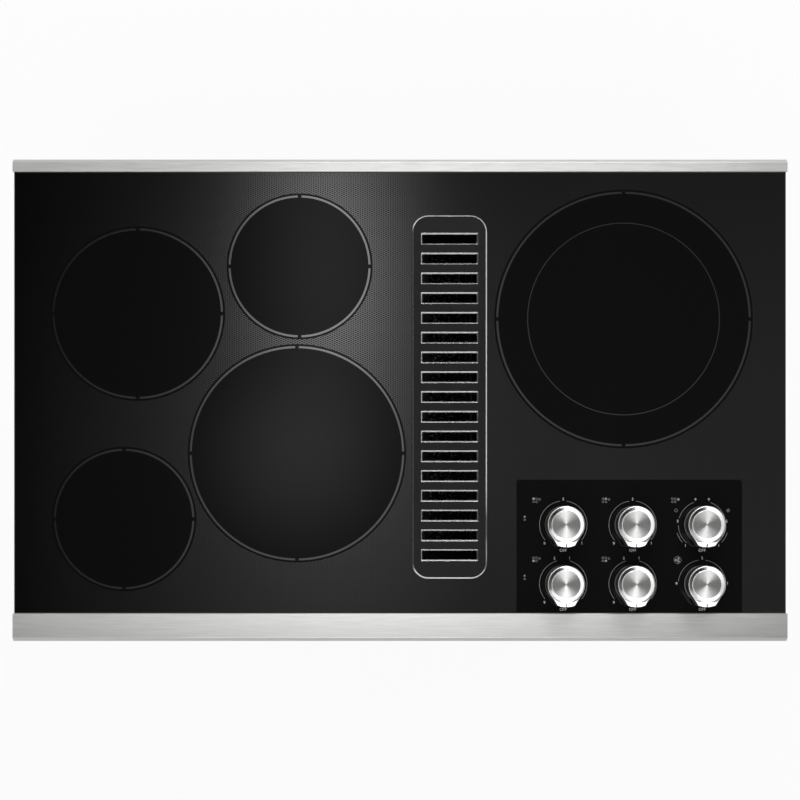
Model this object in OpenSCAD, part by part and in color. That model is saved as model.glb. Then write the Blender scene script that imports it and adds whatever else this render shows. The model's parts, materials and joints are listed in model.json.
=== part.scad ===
// Downdraft cooktop. A black ceramic glass lies on a sheet-metal burner box that drops into a
// worktop cutout. Five radiant elements sit under the glass, six push-to-turn knobs stand on it,
// and a slotted grille covers a vent chamber with a filter, a blower and an overflow tray.
// Millimetres. +X is the user's right, +Y the wall behind, +Z up. The origin is the middle of the
// cutout, on the worktop's surface.

/* [Cooktop] */
// Width over the trims
cooktop_w = 922; // [915:1:940]
// Depth over the trims
cooktop_d = 574; // [571:1:590]
// Thickness of the ceramic glass
glass_t = 4; // [3:0.5:6]
// Bevel along the glass's open side edges
glass_bevel = 1; // [0.4:0.2:1.6]
// How far the cooktop laps over the worktop around its cutout
rim_overhang = 28; // [26:1:29]
// Gap between the burner box and the edge of the cutout
cutout_gap = 3; // [2:0.5:4]

/* [Trims] */
// Depth of the front trim, seen from above
front_trim_d = 33; // [28:1:40]
// Depth of the rear trim, seen from above
rear_trim_d = 15.4; // [13:0.2:22]
// Thickness of the trim steel
trim_t = 1.2; // [0.8:0.1:1.6]
// Depth of a trim's sloped lip
trim_lip = 4; // [3:0.5:6]
// How far the sloped lip falls
trim_drop = 4.5; // [3:0.5:6]
// Gap under a trim's skirt, above the worktop
trim_clear = 0.8; // [0.5:0.1:1.5]
// Width and height of the black bead along a trim's inner edge
bead = 1.1; // [0.8:0.1:1.6]

/* [Seat] */
// Height of the rim gasket when it is pressed on the worktop
gasket_t = 2.5; // [1.5:0.5:4]
// Width of the rim gasket
gasket_w = 16; // [10:1:18]
// Thickness of the seals under the glass
seal_t = 1.5; // [1:0.5:3]
// Width of the seal under the glass's rim
seal_w = 8; // [5:1:10]

/* [Burner box] */
// Depth of the burner box below the worktop's surface
box_depth = 72; // [68:1:90]
// Sheet thickness of the burner box
sheet_t = 1; // [0.8:0.1:1.4]
// Length of one cooling slot in the box floor
cool_slot_l = 60; // [40:1:70]
// Width of one cooling slot
cool_slot_w = 4; // [3:0.5:6]
// Distance between the cooling slots
cool_slot_pitch = 11; // [10:1:13]

/* [Cooking zones] */
// Left rear zone's middle, across, as a share of the box's inside width
left_rear_x_ratio = -0.364452; // [-0.3683:0.0001:-0.3613]
// Left rear zone's middle, back, as a share of the box's inside depth
left_rear_y_ratio = 0.202745; // [0.1980:0.0001:0.2078]
// Radius of its ring, as a share of the box's inside depth
left_rear_r_ratio = 0.196471; // [0.1765:0.0001:0.2039]
// Centre rear zone's middle, across, as a share of the box's inside width
centre_rear_x_ratio = -0.139977; // [-0.1422:0.0001:-0.1340]
// Centre rear zone's middle, back, as a share of the box's inside depth
centre_rear_y_ratio = 0.312941; // [0.3098:0.0001:0.3196]
// Radius of its ring, as a share of the box's inside depth
centre_rear_r_ratio = 0.163137; // [0.1490:0.0001:0.1686]
// Centre front zone's middle, across, as a share of the box's inside width
centre_front_x_ratio = -0.143590; // [-0.1457:0.0001:-0.1399]
// Centre front zone's middle, back, as a share of the box's inside depth
centre_front_y_ratio = -0.123137; // [-0.1294:0.0001:-0.1196]
// Radius of its ring, as a share of the box's inside depth
centre_front_r_ratio = 0.247647; // [0.2314:0.0001:0.2510]
// Left front zone's middle, across, as a share of the box's inside width
left_front_x_ratio = -0.383333; // [-0.3893:0.0001:-0.3800]
// Left front zone's middle, back, as a share of the box's inside depth
left_front_y_ratio = -0.276471; // [-0.2824:0.0001:-0.2706]
// Radius of its ring, as a share of the box's inside depth
left_front_r_ratio = 0.161373; // [0.1490:0.0001:0.1647]
// Right zone's middle, across, as a share of the box's inside width
right_x_ratio = 0.309324; // [0.3065:0.0001:0.3147]
// Right zone's middle, back, as a share of the box's inside depth
right_y_ratio = 0.190196; // [0.1843:0.0001:0.1922]
// Radius of its outer ring, as a share of the box's inside depth
right_r_ratio = 0.294510; // [0.2824:0.0001:0.2980]
// Radius of its inner ring, as a share of the box's inside depth
right_inner_r_ratio = 0.223725; // [0.1961:0.0001:0.2314]
// Depth to width of the field that the shares are drawn for
field_ratio = 0.5945; // [0.59:0.0001:0.6]

/* [Elements] */
// How far a dish reaches past its ring
dish_rim = 4; // [3:0.5:4.5]
// Depth of a dish below the glass
dish_depth = 28; // [26:1:34]
// Sheet thickness of a dish
dish_t = 0.8; // [0.6:0.1:1.2]
// How far the dish wall stays below the glass
dish_gap = 3; // [2:0.5:4]
// Thickness of the insulation's floor
insulation_t = 10; // [8:0.5:11]
// Width of the insulation's rim
insulation_w = 12; // [9:0.5:15]
// Width of the insulation ring between the dual zone's two heaters
divider_w = 7; // [5:0.5:9]
// Thickness of the heating ribbon
ribbon_t = 0.8; // [0.6:0.1:1.2]
// Height of the heating ribbon
ribbon_h = 6; // [4:0.5:7]
// Distance between the ribbon's turns
ribbon_pitch = 13; // [11:0.5:16]
// Radius of the ribbon's first turn
ribbon_start = 20; // [16:1:26]
// Gap where the ribbon turns back
ribbon_turn = 12; // [8:1:16]
// Radius of a limiter's rod
limiter_r = 2.5; // [2:0.1:2.8]
// Depth of a limiter's rod below the glass
limiter_drop = 6; // [5:0.5:6.5]
// Length of a limiter's head
limiter_head_l = 26; // [20:1:30]
// Width of a limiter's head
limiter_head_w = 20; // [14:1:22]
// Height of a limiter's head
limiter_head_h = 9; // [6:0.5:9.5]
// Width of a dish support
support_w = 24; // [18:1:30]
// Sheet thickness of a dish support
support_t = 1.2; // [0.8:0.1:1.6]
// Length of a support's foot
support_foot = 14; // [10:1:18]

/* [Controls] */
// First column of knobs, across, as a share of the box's inside width
knob_x_ratio = 0.226457; // [0.2214:0.0001:0.2308]
// Distance between the columns of knobs
knob_dx = 82.6; // [76:0.1:84]
// Distance from the cooktop's front to the front row of knobs
knob_front = 68.3; // [67:0.1:73]
// Distance between the rows of knobs
knob_dy = 70.3; // [66:0.1:76]
// Radius of a knob's skirt
knob_skirt_r = 22.3; // [20:0.1:24]
// Height of the skirt
skirt_h = 3.2; // [2:0.2:4]
// Depth and height of the groove between the skirt and the grip
knob_groove = 1; // [0.6:0.1:1.5]
// Radius of a knob's grip
knob_grip_r = 22.1; // [19:0.1:23]
// Rounding at the top of the grip, cut as a slope
knob_slope = 2.4; // [1.5:0.1:3]
// Radius of the turned disc in a knob's top
knob_disc_r = 16.4; // [14:0.1:18]
// Width of the groove round the disc
disc_groove_w = 1.4; // [0.8:0.1:2]
// Depth of the groove round the disc
disc_groove_d = 1.6; // [1:0.1:2.5]
// Height of a knob's top above the glass
knob_h = 27; // [24:0.5:30]
// Gap between a knob's skirt and the glass
knob_gap = 2.6; // [2.4:0.1:3.2]
// Reach of the pointer from the knob's axis
pointer_r = 26.7; // [25:0.1:28]
// Width of the pointer's tip
pointer_w = 19; // [16:0.5:22]
// How far the pointer's top lies below the knob's top
pointer_drop = 1.6; // [1:0.2:4]
// Wall left round the hollow under a knob
knob_wall = 5; // [4:0.5:7]
// Depth of the hollow under a knob
knob_hollow = 7; // [5:0.5:9]
// Radius of the shafts
shaft_r = 3; // [2.6:0.1:3.4]
// Flat cut off a shaft
shaft_flat = 0.9; // [0.6:0.1:1.2]
// Depth of the shaft's seat in the knob, from the knob's top
seat_depth = 7; // [6:0.5:9]
// Running gap round a shaft
shaft_run = 0.08; // [0.05:0.01:0.1]
// Fit gap between a shaft and the knob or cam that it drives
shaft_fit = 0.05; // [0.03:0.01:0.08]
// Radius of the holes in the glass
knob_hole_r = 7; // [6.5:0.1:8]
// Radius of a knob seal's flange
seal_flange_r = 11; // [9.5:0.5:13]
// Thickness of a knob seal's flange
seal_flange_t = 1; // [0.6:0.1:1.4]
// Gap between a knob seal and its shaft
seal_gap = 0.4; // [0.3:0.1:0.8]

/* [Switches] */
// Depth of the switch bracket's underside below the worktop's surface
switch_z = 18; // [16:0.5:22]
// Sheet thickness of the switch bracket
bracket_t = 1.5; // [1:0.1:2]
// Margin of the bracket past the knobs, across
bracket_margin_x = 32; // [28:1:34]
// Margin of the bracket past the knobs, in depth
bracket_margin_y = 27; // [25:1:29]
// Length of the bracket's feet
bracket_foot = 12; // [8:1:14]
// Width of a switch
switch_w = 40; // [34:1:44]
// Height of a switch
switch_h = 34; // [31:1:38]
// Radius of a switch's bushing
bushing_r = 5; // [4.2:0.1:6]
// Length of a switch's bushing above its body
bushing_l = 7; // [5:0.5:9]
// Wall round the cam inside a switch
switch_wall = 3; // [2:0.5:5]
// Radius of the notch in a cam's rim
cam_notch_r = 3; // [2:0.2:4]
// Radius of a cam
cam_r = 13; // [10:0.5:14]
// Height of a cam
cam_h = 14; // [10:0.5:16]
// Gap round a cam
cam_gap = 0.5; // [0.3:0.1:1]
// Travel of a knob when it is pushed in
push_travel = 2; // [1:0.1:2.2]
// Distance of the indicator lamps from the first column of knobs
lamp_dx = 46; // [42:1:50]
// Distance of a lamp behind its row of knobs
lamp_dy = 9; // [6:1:12]
// Radius of an indicator lamp
lamp_r = 4; // [3:0.5:5]

/* [Grille] */
// Middle of the vent, across, as a share of the box's inside width
vent_x_ratio = 0.068182; // [0.0664:0.0001:0.0711]
// Middle of the vent, back, as a share of the box's inside depth
vent_y_ratio = 0.006078; // [0:0.0001:0.0118]
// Width of the grille
grille_w = 89; // [86:0.5:92]
// Length of the grille
grille_l = 431; // [425:0.5:440]
// Corner radius of the grille
grille_r = 19.5; // [16:0.5:24]
// Height of the grille's top above the glass
grille_rise = 7; // [6:0.5:10]
// Thickness of the grille's plate
grille_t = 4; // [3:0.5:4.5]
// Width of the grille's rim
grille_rim = 5; // [4:0.5:6]
// Bevel round the grille's top edge
grille_bevel = 1.5; // [1:0.1:2.4]
// How far the grille laps over the glass round the opening
grille_lap = 6.5; // [6:0.1:8]
// Number of slots
slot_count = 17; // [13:1:17]
// Distance from the grille's end to its first slot
slot_margin = 22.75; // [20:0.25:32]
// Distance from the grille's side to its slots
slot_side = 12.25; // [11:0.25:16]
// Width of a slot
slot_w = 10.4; // [8:0.1:11]
// Bevel on a slot's long edges
slot_bevel = 1.6; // [1:0.1:2.6]
// Bevel on a slot's short edges
slot_end_bevel = 1.5; // [1:0.1:2]
// Thickness of the bumpers under the grille
bumper_t = 1; // [0.6:0.1:1.4]
// Length of a bumper
bumper_l = 24; // [16:1:30]
// Width of a bumper
bumper_w = 3; // [2:0.5:3.5]
// Gap between the grille's tabs and the glass
tab_gap = 0.7; // [0.5:0.1:1]
// Thickness of a tab
tab_t = 2; // [1.5:0.1:2]
// Length of a tab
tab_l = 22; // [16:1:30]
// Depth of a tab below the glass's top
tab_drop = 6; // [4:0.5:8]

/* [Vent chamber] */
// Depth of the vent chamber below the worktop's surface
chamber_depth = 372; // [366:1:390]
// Sheet thickness of the chamber
chamber_t = 1.2; // [1:0.1:1.5]
// How far the chamber's walls stand back from the glass opening
chamber_set = 2; // [1.5:0.1:3]
// Width of the chamber's flange under the box floor
flange_w = 16; // [14:1:18]
// Gap between the chamber and the hole in the box floor
floor_gap = 0.6; // [0.4:0.1:1]
// Length of the drain in the chamber's floor
drain_l = 240; // [200:1:260]
// Width of the drain in the chamber's floor
drain_w = 44; // [36:1:50]
// Number of screws along each side of the flange
flange_screws = 4; // [3:1:5]
// Distance between the flange screws
screw_pitch = 110; // [90:1:125]
// Radius of a screw's shank
screw_r = 2; // [1.6:0.1:2.4]
// Radius of a screw's head
screw_head_r = 4; // [3.4:0.1:5]
// Height of a screw's head
screw_head_h = 2.4; // [1.8:0.1:3.2]
// Gap round a screw's shank in its hole
screw_gap = 0.3; // [0.2:0.1:0.5]

/* [Filter] */
// Distance from the filter's end to the chamber's end wall
filter_end = 12; // [11.5:0.5:22]
// Height of the filter along its slope
filter_h = 145; // [138:1:146]
// Thickness of the filter
filter_t = 10; // [8:0.5:10.5]
// Slope of the filter from upright
filter_tilt = 26; // [24:0.5:26.5]
// Depth of the filter's middle below the worktop's surface
filter_z = 85; // [84:1:86]
// Sheet thickness of the filter's frame
filter_frame_t = 1; // [0.8:0.1:1.4]
// Width of the frame's edge round the mesh
filter_edge = 12; // [9:0.5:15]
// Gap round the mesh inside its frame
mesh_gap = 0.2; // [0.1:0.1:0.4]
// Gap between the filter and what it rests on
filter_gap = 0.3; // [0.2:0.1:0.5]
// How far the lower ledge reaches under the filter's edge
ledge_lap = 3; // [2:0.5:5]
// Thickness of the filter ledges
ledge_t = 1.2; // [1:0.1:1.6]
// Height of the ledge that the filter leans on
lean_h = 18; // [12:1:24]

/* [Blower] */
// How far the wheel's middle lies in front of the vent's
wheel_fore = 13.5; // [8:0.5:17]
// Depth of the wheel's middle below the worktop's surface
wheel_z = 222; // [221:1:226]
// Radius of the wheel
wheel_r = 80; // [74:1:82]
// Width of the wheel
wheel_w = 70; // [60:1:74]
// Number of blades
blade_count = 32; // [24:1:36]
// Depth of a blade
blade_d = 14; // [10:1:16]
// Thickness of a blade
blade_t = 1; // [0.8:0.1:1.4]
// Lean of a blade from the radius
blade_lean = 30; // [20:1:36]
// Thickness of the wheel's plate and ring
wheel_t = 2; // [1.5:0.1:3]
// Radius of the wheel's hub
hub_r = 13; // [11:0.5:16]
// Length of the wheel's hub
hub_l = 22; // [16:1:26]
// Gap between the wheel and the inlet wall
wheel_gap = 7; // [5:0.5:9]
// Width of the blower housing
housing_w = 92; // [88:1:98]
// Sheet thickness of the blower housing
housing_t = 1.2; // [1:0.1:1.6]
// Radius of the blower housing's round part
scroll_r = 118; // [116:1:119]
// How far the round part's middle lies in front of the wheel's
scroll_dy = 22; // [18:1:24]
// How far the round part's middle lies below the wheel's
scroll_dz = 12; // [8:1:13]
// Radius of the inlet
inlet_r = 60; // [52:1:61]
// Length of the outlet from the round part's middle
outlet_l = 155; // [148:1:160]
// Height of the outlet
outlet_h = 110; // [100:1:112]
// Radius of the motor shaft
motor_shaft_r = 4; // [3.4:0.1:5]
// Radius of the motor
motor_r = 46; // [42:0.5:50]
// Length of the motor
motor_l = 72; // [64:1:84]
// Wall of the motor's can
motor_wall = 2; // [1.5:0.1:3]
// Radius of the motor's bearing bosses
bearing_r = 11; // [9:0.5:14]
// Length of the motor's bearing bosses
bearing_l = 8; // [6:0.5:11]
// Radius of the rotor
rotor_r = 29; // [24:0.5:31]
// Length of the rotor
rotor_l = 36; // [30:1:40]
// Thickness of the motor plate
motor_plate_t = 2; // [1.5:0.1:3]
// Gap between the rotor and the windings
rotor_gap = 1.5; // [1:0.1:2]
// How far the windings reach past each end of the rotor
winding_over = 3; // [2:0.5:5]
// How far the motor plate reaches past the motor
motor_plate_rim = 12; // [8:1:16]
// Gap between the motor shaft and the motor plate
plate_gap = 4; // [3:0.5:6]
// Radius of the hole for the motor in the blower housing
motor_hole_r = 20; // [16:0.5:24]

/* [Exhaust] */
// Outer radius of the round collar
collar_r = 75; // [70:0.5:75]
// Length of the collar
collar_l = 42; // [34:1:50]
// Sheet thickness of the collar and its box
collar_t = 1.2; // [1:0.1:1.6]
// Margin of the collar's box past the collar
collar_margin = 4; // [3:0.5:6]
// Depth of the collar's box
collar_box_d = 28; // [22:1:32]
// Gap between the collar's box and the chamber
collar_gap = 0.6; // [0.4:0.1:2]

/* [Overflow tray] */
// Length of the tray
tray_l = 320; // [290:1:340]
// Depth of the tray
tray_h = 38; // [30:1:46]
// Wall of the tray
tray_t = 1.6; // [1.2:0.1:2.2]
// Width of the flanges that the tray hangs on
tray_flange = 5.4; // [4.5:0.1:6]
// Thickness of the tray's flanges
tray_flange_t = 1.4; // [1.2:0.1:1.6]
// Drop of a runner below the chamber
runner_h = 6; // [5.5:0.5:8]
// Sheet thickness of a runner
runner_t = 1.2; // [1:0.1:1.5]
// Gap round the tray's flange in its runner
runner_gap = 0.4; // [0.3:0.1:0.6]
// Thickness of the tray's front
tray_front_t = 3; // [2:0.5:4]
// Depth of the finger lip on the tray's front
tray_lip = 14; // [10:1:18]

/* [Wiring box] */
// Distance from the burner box's left side to the wiring box's middle
wiring_side = 105; // [90:1:130]
// Distance from the burner box's rear to the wiring box's middle
wiring_rear = 61; // [58:1:68]
// Width of the wiring box
wiring_w = 110; // [96:1:120]
// Length of the wiring box
wiring_l = 90; // [80:1:100]
// Height of the wiring box
wiring_h = 55; // [48:1:64]
// Sheet thickness of the wiring box
wiring_t = 1.2; // [1:0.1:1.6]
// Radius of the bore in the conduit connector
conduit_r = 8.5; // [7:0.1:9]
// Radius of the hole for the conduit connector
knockout_r = 11.1; // [10.5:0.1:12]
// Length of the conduit connector outside the box
conduit_l = 18; // [14:1:22]
// Radius of the connector's nut and collar
conduit_nut_r = 15; // [14:0.5:17]
// Thickness of the connector's nut and collar
conduit_nut_t = 4; // [3:0.5:5]
// Radius of the wiring hole in the box floor
feed_r = 18; // [14:1:22]
// Width of the terminal block
terminal_w = 60; // [50:1:70]
// Depth of the terminal block
terminal_d = 24; // [20:1:28]
// Height of the terminal block
terminal_h = 20; // [16:1:24]

/* [Hold-down clamps] */
// Thickness of the worktop
worktop_t = 38; // [20:1:42]
// Distance of the clamps from the middle, in depth
clamp_y = 150; // [130:1:180]
// Width of a clamp
clamp_w = 36; // [28:1:44]
// Height of a clamp's upright
clamp_h = 24; // [18:1:28]
// Reach of a clamp under the worktop
clamp_reach = 26; // [22:1:30]
// Sheet thickness of a clamp
clamp_t = 2; // [1.5:0.1:3]
// Distance of a clamp's arm above the box floor
clamp_lift = 6; // [4:1:10]
// Radius of a clamp screw
clamp_screw_r = 3; // [2.4:0.1:4]
// Length of a clamp screw below its arm
clamp_tail = 10; // [8:1:14]

/* [Hidden] */
$fn = 64;
CUT = 1;
ZONES = ["left_rear", "centre_rear", "centre_front", "left_front", "right"];

// The burner box, and the field inside it that the zones, the vent and the knobs share
cutout_w = cooktop_w - 2 * rim_overhang;
cutout_d = cooktop_d - 2 * rim_overhang;
box_w = cutout_w - 2 * cutout_gap;
box_d = cutout_d - 2 * cutout_gap;
field_w = box_w - 2 * sheet_t;
field_d = box_d - 2 * sheet_t;
field = min(field_d, field_w * field_ratio);
zone_at = [
    [left_rear_x_ratio * field_w, left_rear_y_ratio * field_d],
    [centre_rear_x_ratio * field_w, centre_rear_y_ratio * field_d],
    [centre_front_x_ratio * field_w, centre_front_y_ratio * field_d],
    [left_front_x_ratio * field_w, left_front_y_ratio * field_d],
    [right_x_ratio * field_w, right_y_ratio * field_d],
];
zone_r = [
    left_rear_r_ratio * field,
    centre_rear_r_ratio * field,
    centre_front_r_ratio * field,
    left_front_r_ratio * field,
    right_r_ratio * field,
];
right_inner_r = right_inner_r_ratio * field;
limiter_turn = [-70, 20, -45, 110, -120];
CONTROLS = ["left_rear", "centre_rear", "right", "left_front", "centre_front", "fan"];

// Heights
box_flange_z = gasket_t;
glass_z = gasket_t + sheet_t + seal_t;
glass_top_z = glass_z + glass_t;
box_floor_z = -box_depth;

// The glass and the seat
glass_end_gap = 0.3;
glass_w = cooktop_w - 2 * (trim_t + glass_end_gap);
glass_d = cooktop_d - 2 * (trim_lip + trim_t);
rim_w = cutout_w + 2 * gasket_w;
rim_d = cutout_d + 2 * gasket_w;

// Places that pieces share are kept to a hundredth of a millimetre, so that their faces meet
function hundredth(v) = round(100 * v) / 100;

// The vent
vent_x = hundredth(vent_x_ratio * field_w);
vent_y = hundredth(vent_y_ratio * field_d);
slot_pitch = (grille_l - 2 * slot_margin - slot_w) / (slot_count - 1);
slot_l = grille_w - 2 * slot_side;
vent_w = grille_w - 2 * grille_lap;
vent_l = grille_l - 2 * grille_lap;
vent_r = grille_r - grille_lap;
chamber_in_w = vent_w + 2 * chamber_set;
chamber_in_l = vent_l + 2 * chamber_set;
chamber_w = chamber_in_w + 2 * chamber_t;
chamber_l = chamber_in_l + 2 * chamber_t;
chamber_top_z = glass_z - seal_t;
flange_mid = flange_w / 2;
side_x = vent_x + chamber_w / 2;

// The elements
dish_z = glass_z - dish_depth;
dish_wall_h = dish_depth - dish_gap;
insulation_gap = 0.2;
ribbon_z = dish_z + dish_t + insulation_t;
limiter_z = glass_z - limiter_drop;
limiter_hole_r = limiter_r + 0.3;
function dish_r(i) = zone_r[i] + dish_rim;
function insulation_r(i) = dish_r(i) - dish_t - insulation_gap;

// The controls
knob_x = hundredth(knob_x_ratio * field_w);
knob_y = knob_front - cooktop_d / 2;
function control_at(i) = [knob_x + (i % 3) * knob_dx, knob_y + (i < 3 ? knob_dy : 0)];
knob_top_z = glass_top_z + knob_h;
knob_base_z = glass_top_z + knob_gap;
grip_z = knob_base_z + skirt_h + knob_groove;
shaft_top_z = knob_top_z - seat_depth;
switch_top_z = -switch_z;
cam_z = switch_top_z - switch_wall - cam_gap - cam_h;
shaft_end_z = cam_z - 1;
bracket_z = switch_top_z;
bracket_x0 = knob_x - lamp_dx - 2 * lamp_r;
bracket_x1 = knob_x + 2 * knob_dx + bracket_margin_x;
bracket_y0 = knob_y - bracket_margin_y;
bracket_y1 = knob_y + knob_dy + bracket_margin_y;

// The filter, whose middle is on the chamber's middle
filter_l = chamber_in_l - 2 * filter_end;
slope = [sin(filter_tilt), -cos(filter_tilt)];
square_to = [cos(filter_tilt), sin(filter_tilt)];
filter_half_x = (filter_h * slope[0] + filter_t * square_to[0]) / 2;
filter_low = [
    (filter_h * slope[0] - filter_t * square_to[0]) / 2,
    (filter_h * slope[1] - filter_t * square_to[1]) / 2,
];
filter_lean_z = -filter_h * slope[1] / 2 - filter_t * square_to[1] / 2;

// The blower, whose axis is along X
wheel_y = vent_y - wheel_fore;
scroll_y = wheel_y - scroll_dy;
scroll_z = -wheel_z - scroll_dz;
wheel_x = side_x + housing_t + wheel_gap;
motor_x = side_x + housing_w + motor_plate_t;
collar_x = side_x + collar_gap + collar_r + collar_margin;
collar_y = scroll_y + outlet_l;
collar_z = scroll_z - scroll_r + outlet_h / 2;

// The tray
runner_in = chamber_w / 2 - runner_t;
tray_half = runner_in - runner_gap - tray_flange;
tray_top_z = -chamber_depth - runner_h + runner_t + runner_gap + tray_flange_t;
tray_y0 = vent_y - tray_l / 2;

// The wiring box
wiring_x = wiring_side - box_w / 2;
wiring_y = box_d / 2 - wiring_rear;

// The clamps
clamp_z = box_floor_z + clamp_lift;
clamp_screw_x = box_w / 2 + clamp_reach - 2.5 * clamp_screw_r;

STEEL = [0.72, 0.72, 0.73];
ZINC = [0.62, 0.64, 0.66];
BLACK = [0.05, 0.05, 0.055];
DARK = [0.16, 0.16, 0.17];
SILICONE = [0.12, 0.12, 0.12];
CERAMIC = [0.9, 0.88, 0.82];
HEATER = [0.45, 0.33, 0.28];

// A rectangle with round corners, centred
module round_rect(w, l, r) {
    square([w - 2 * r, l], center = true);
    square([w, l - 2 * r], center = true);
    for (sx = [-1, 1], sy = [-1, 1])
        translate([sx * (w / 2 - r), sy * (l / 2 - r)]) circle(r);
}

// A flat frame around a rectangular hole, lying on z
module flat_frame(out_w, out_l, in_w, in_l, z, t) {
    translate([0, 0, z])
        linear_extrude(t)
            difference() {
                square([out_w, out_l], center = true);
                square([in_w, in_l], center = true);
            }
}

// A tube or rod along X from x0
module rod_x(x0, len, r) {
    translate([x0, 0, 0]) rotate([0, 90, 0]) cylinder(h = len, r = r);
}

// A box given by its lowest corner and its highest corner
module span(low, high) {
    translate(low) cube(high - low);
}

// Everything below that belongs to the vent is drawn around its middle
module at_vent() {
    translate([vent_x, vent_y, 0]) children();
}

module glass_top() {
    color(BLACK)
        difference() {
            rotate([90, 0, 0])
                linear_extrude(glass_d, center = true)
                    polygon([
                        [-glass_w / 2, glass_z],
                        [glass_w / 2, glass_z],
                        [glass_w / 2, glass_top_z - glass_bevel],
                        [glass_w / 2 - glass_bevel, glass_top_z],
                        [-glass_w / 2 + glass_bevel, glass_top_z],
                        [-glass_w / 2, glass_top_z - glass_bevel],
                    ]);
            at_vent()
                translate([0, 0, glass_z - CUT])
                    linear_extrude(glass_t + 2 * CUT) round_rect(vent_w, vent_l, vent_r);
            for (i = [0 : 5])
                translate([control_at(i)[0], control_at(i)[1], glass_z - CUT])
                    cylinder(h = glass_t + 2 * CUT, r = knob_hole_r);
        }
}

// A trim's section: x runs outwards from its inner edge, y is up. The sheet is bent twice.
module trim(depth) {
    top = glass_top_z + trim_t;
    bend = atan(trim_drop / trim_lip);
    inner_top = depth - trim_lip - trim_t * tan(bend / 2);
    inner_side = top - trim_drop - trim_t * tan((90 - bend) / 2);
    outside = [[0, top], [depth - trim_lip, top], [depth, top - trim_drop], [depth, trim_clear]];
    inside = [
        [depth - trim_t, trim_clear],
        [depth - trim_t, inner_side],
        [inner_top, glass_top_z],
        [0, glass_top_z],
    ];
    rotate([90, 0, 90])
        linear_extrude(cooktop_w, center = true) polygon(concat(outside, inside));
    for (side = [-1, 1])
        translate([side * (cooktop_w - trim_t) / 2, 0, 0])
            rotate([90, 0, 90])
                linear_extrude(trim_t, center = true) polygon(concat(outside, [[0, trim_clear]]));
}

module front_trim() {
    color(STEEL)
        mirror([0, 1, 0]) translate([0, cooktop_d / 2 - front_trim_d, 0]) trim(front_trim_d);
}

module rear_trim() {
    color(STEEL) translate([0, cooktop_d / 2 - rear_trim_d, 0]) trim(rear_trim_d);
}

// Two beads of black sealant on the glass, one along each trim
module trim_beads() {
    color(SILICONE) {
        translate([0, -cooktop_d / 2 + front_trim_d + bead / 2, glass_top_z + bead / 4])
            cube([glass_w - 2 * glass_bevel, bead, bead / 2], center = true);
        translate([0, cooktop_d / 2 - rear_trim_d - bead / 2, glass_top_z + bead / 4])
            cube([glass_w - 2 * glass_bevel, bead, bead / 2], center = true);
    }
}

// One seal under the glass's rim and one round the vent chamber's mouth
module glass_seals() {
    color(SILICONE) {
        flat_frame(rim_w, rim_d, rim_w - 2 * seal_w, rim_d - 2 * seal_w, glass_z - seal_t, seal_t);
        at_vent()
            flat_frame(
                chamber_w + seal_w / 2, chamber_l + seal_w / 2, chamber_in_w, chamber_in_l,
                chamber_top_z, seal_t
            );
    }
}

module rim_gasket() {
    color(SILICONE) flat_frame(rim_w, rim_d, cutout_w, cutout_d, 0, gasket_t);
}

module burner_box() {
    color(ZINC)
        union() {
            flat_frame(rim_w, rim_d, field_w, field_d, box_flange_z, sheet_t);
            flat_frame(
                box_w, box_d, field_w, field_d,
                box_floor_z + sheet_t, box_flange_z - box_floor_z - sheet_t
            );
        }
}

// The floor plate, welded under the walls
module burner_box_floor() {
    color(ZINC)
        difference() {
            translate([-box_w / 2, -box_d / 2, box_floor_z]) cube([box_w, box_d, sheet_t]);
            at_vent()
                translate([0, 0, box_floor_z])
                    cube([chamber_w + 2 * floor_gap, chamber_l + 2 * floor_gap, 4 * CUT], center = true);
            flange_screw_places()
                translate([0, 0, box_floor_z - CUT])
                    cylinder(h = sheet_t + 2 * CUT, r = screw_r + screw_gap);
            translate([wiring_x, wiring_y, box_floor_z - CUT])
                cylinder(h = sheet_t + 2 * CUT, r = feed_r);
            for (i = [-2.5 : 2.5], side = [-1, 1])
                translate([
                    knob_x + knob_dx + side * (cool_slot_l / 2 + cool_slot_pitch),
                    knob_y + knob_dy / 2 + i * cool_slot_pitch,
                    box_floor_z,
                ])
                    cube([cool_slot_l, cool_slot_w, 4 * CUT], center = true);
        }
}

module zone(i) {
    translate([zone_at[i][0], zone_at[i][1], 0]) children();
}

// The round hole that a limiter's rod takes through a dish and its insulation
module limiter_way(i) {
    translate([0, 0, limiter_z])
        rotate([0, 0, limiter_turn[i]]) rod_x(-dish_r(i) + insulation_w, 2 * dish_r(i), limiter_hole_r);
}

module element_dish(i) {
    color(ZINC)
        zone(i)
            difference() {
                translate([0, 0, dish_z]) cylinder(h = dish_wall_h, r = dish_r(i), $fn = 96);
                translate([0, 0, dish_z + dish_t])
                    cylinder(h = dish_wall_h, r = dish_r(i) - dish_t, $fn = 96);
                limiter_way(i);
            }
}

module ring(z, h, out_r, in_r) {
    translate([0, 0, z])
        linear_extrude(h)
            difference() {
                circle(out_r, $fn = 96);
                circle(in_r, $fn = 96);
            }
}

module element_insulation() {
    color(CERAMIC)
        for (i = [0 : len(ZONES) - 1])
            zone(i)
                difference() {
                    union() {
                        translate([0, 0, dish_z + dish_t])
                            cylinder(h = insulation_t, r = insulation_r(i), $fn = 96);
                        ring(
                            dish_z + dish_t, dish_depth - dish_t,
                            insulation_r(i), insulation_r(i) - insulation_w
                        );
                        if (ZONES[i] == "right")
                            ring(
                                ribbon_z - CUT, glass_z - ribbon_z + CUT,
                                right_inner_r + divider_w / 2, right_inner_r - divider_w / 2
                            );
                    }
                    limiter_way(i);
                }
}

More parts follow.
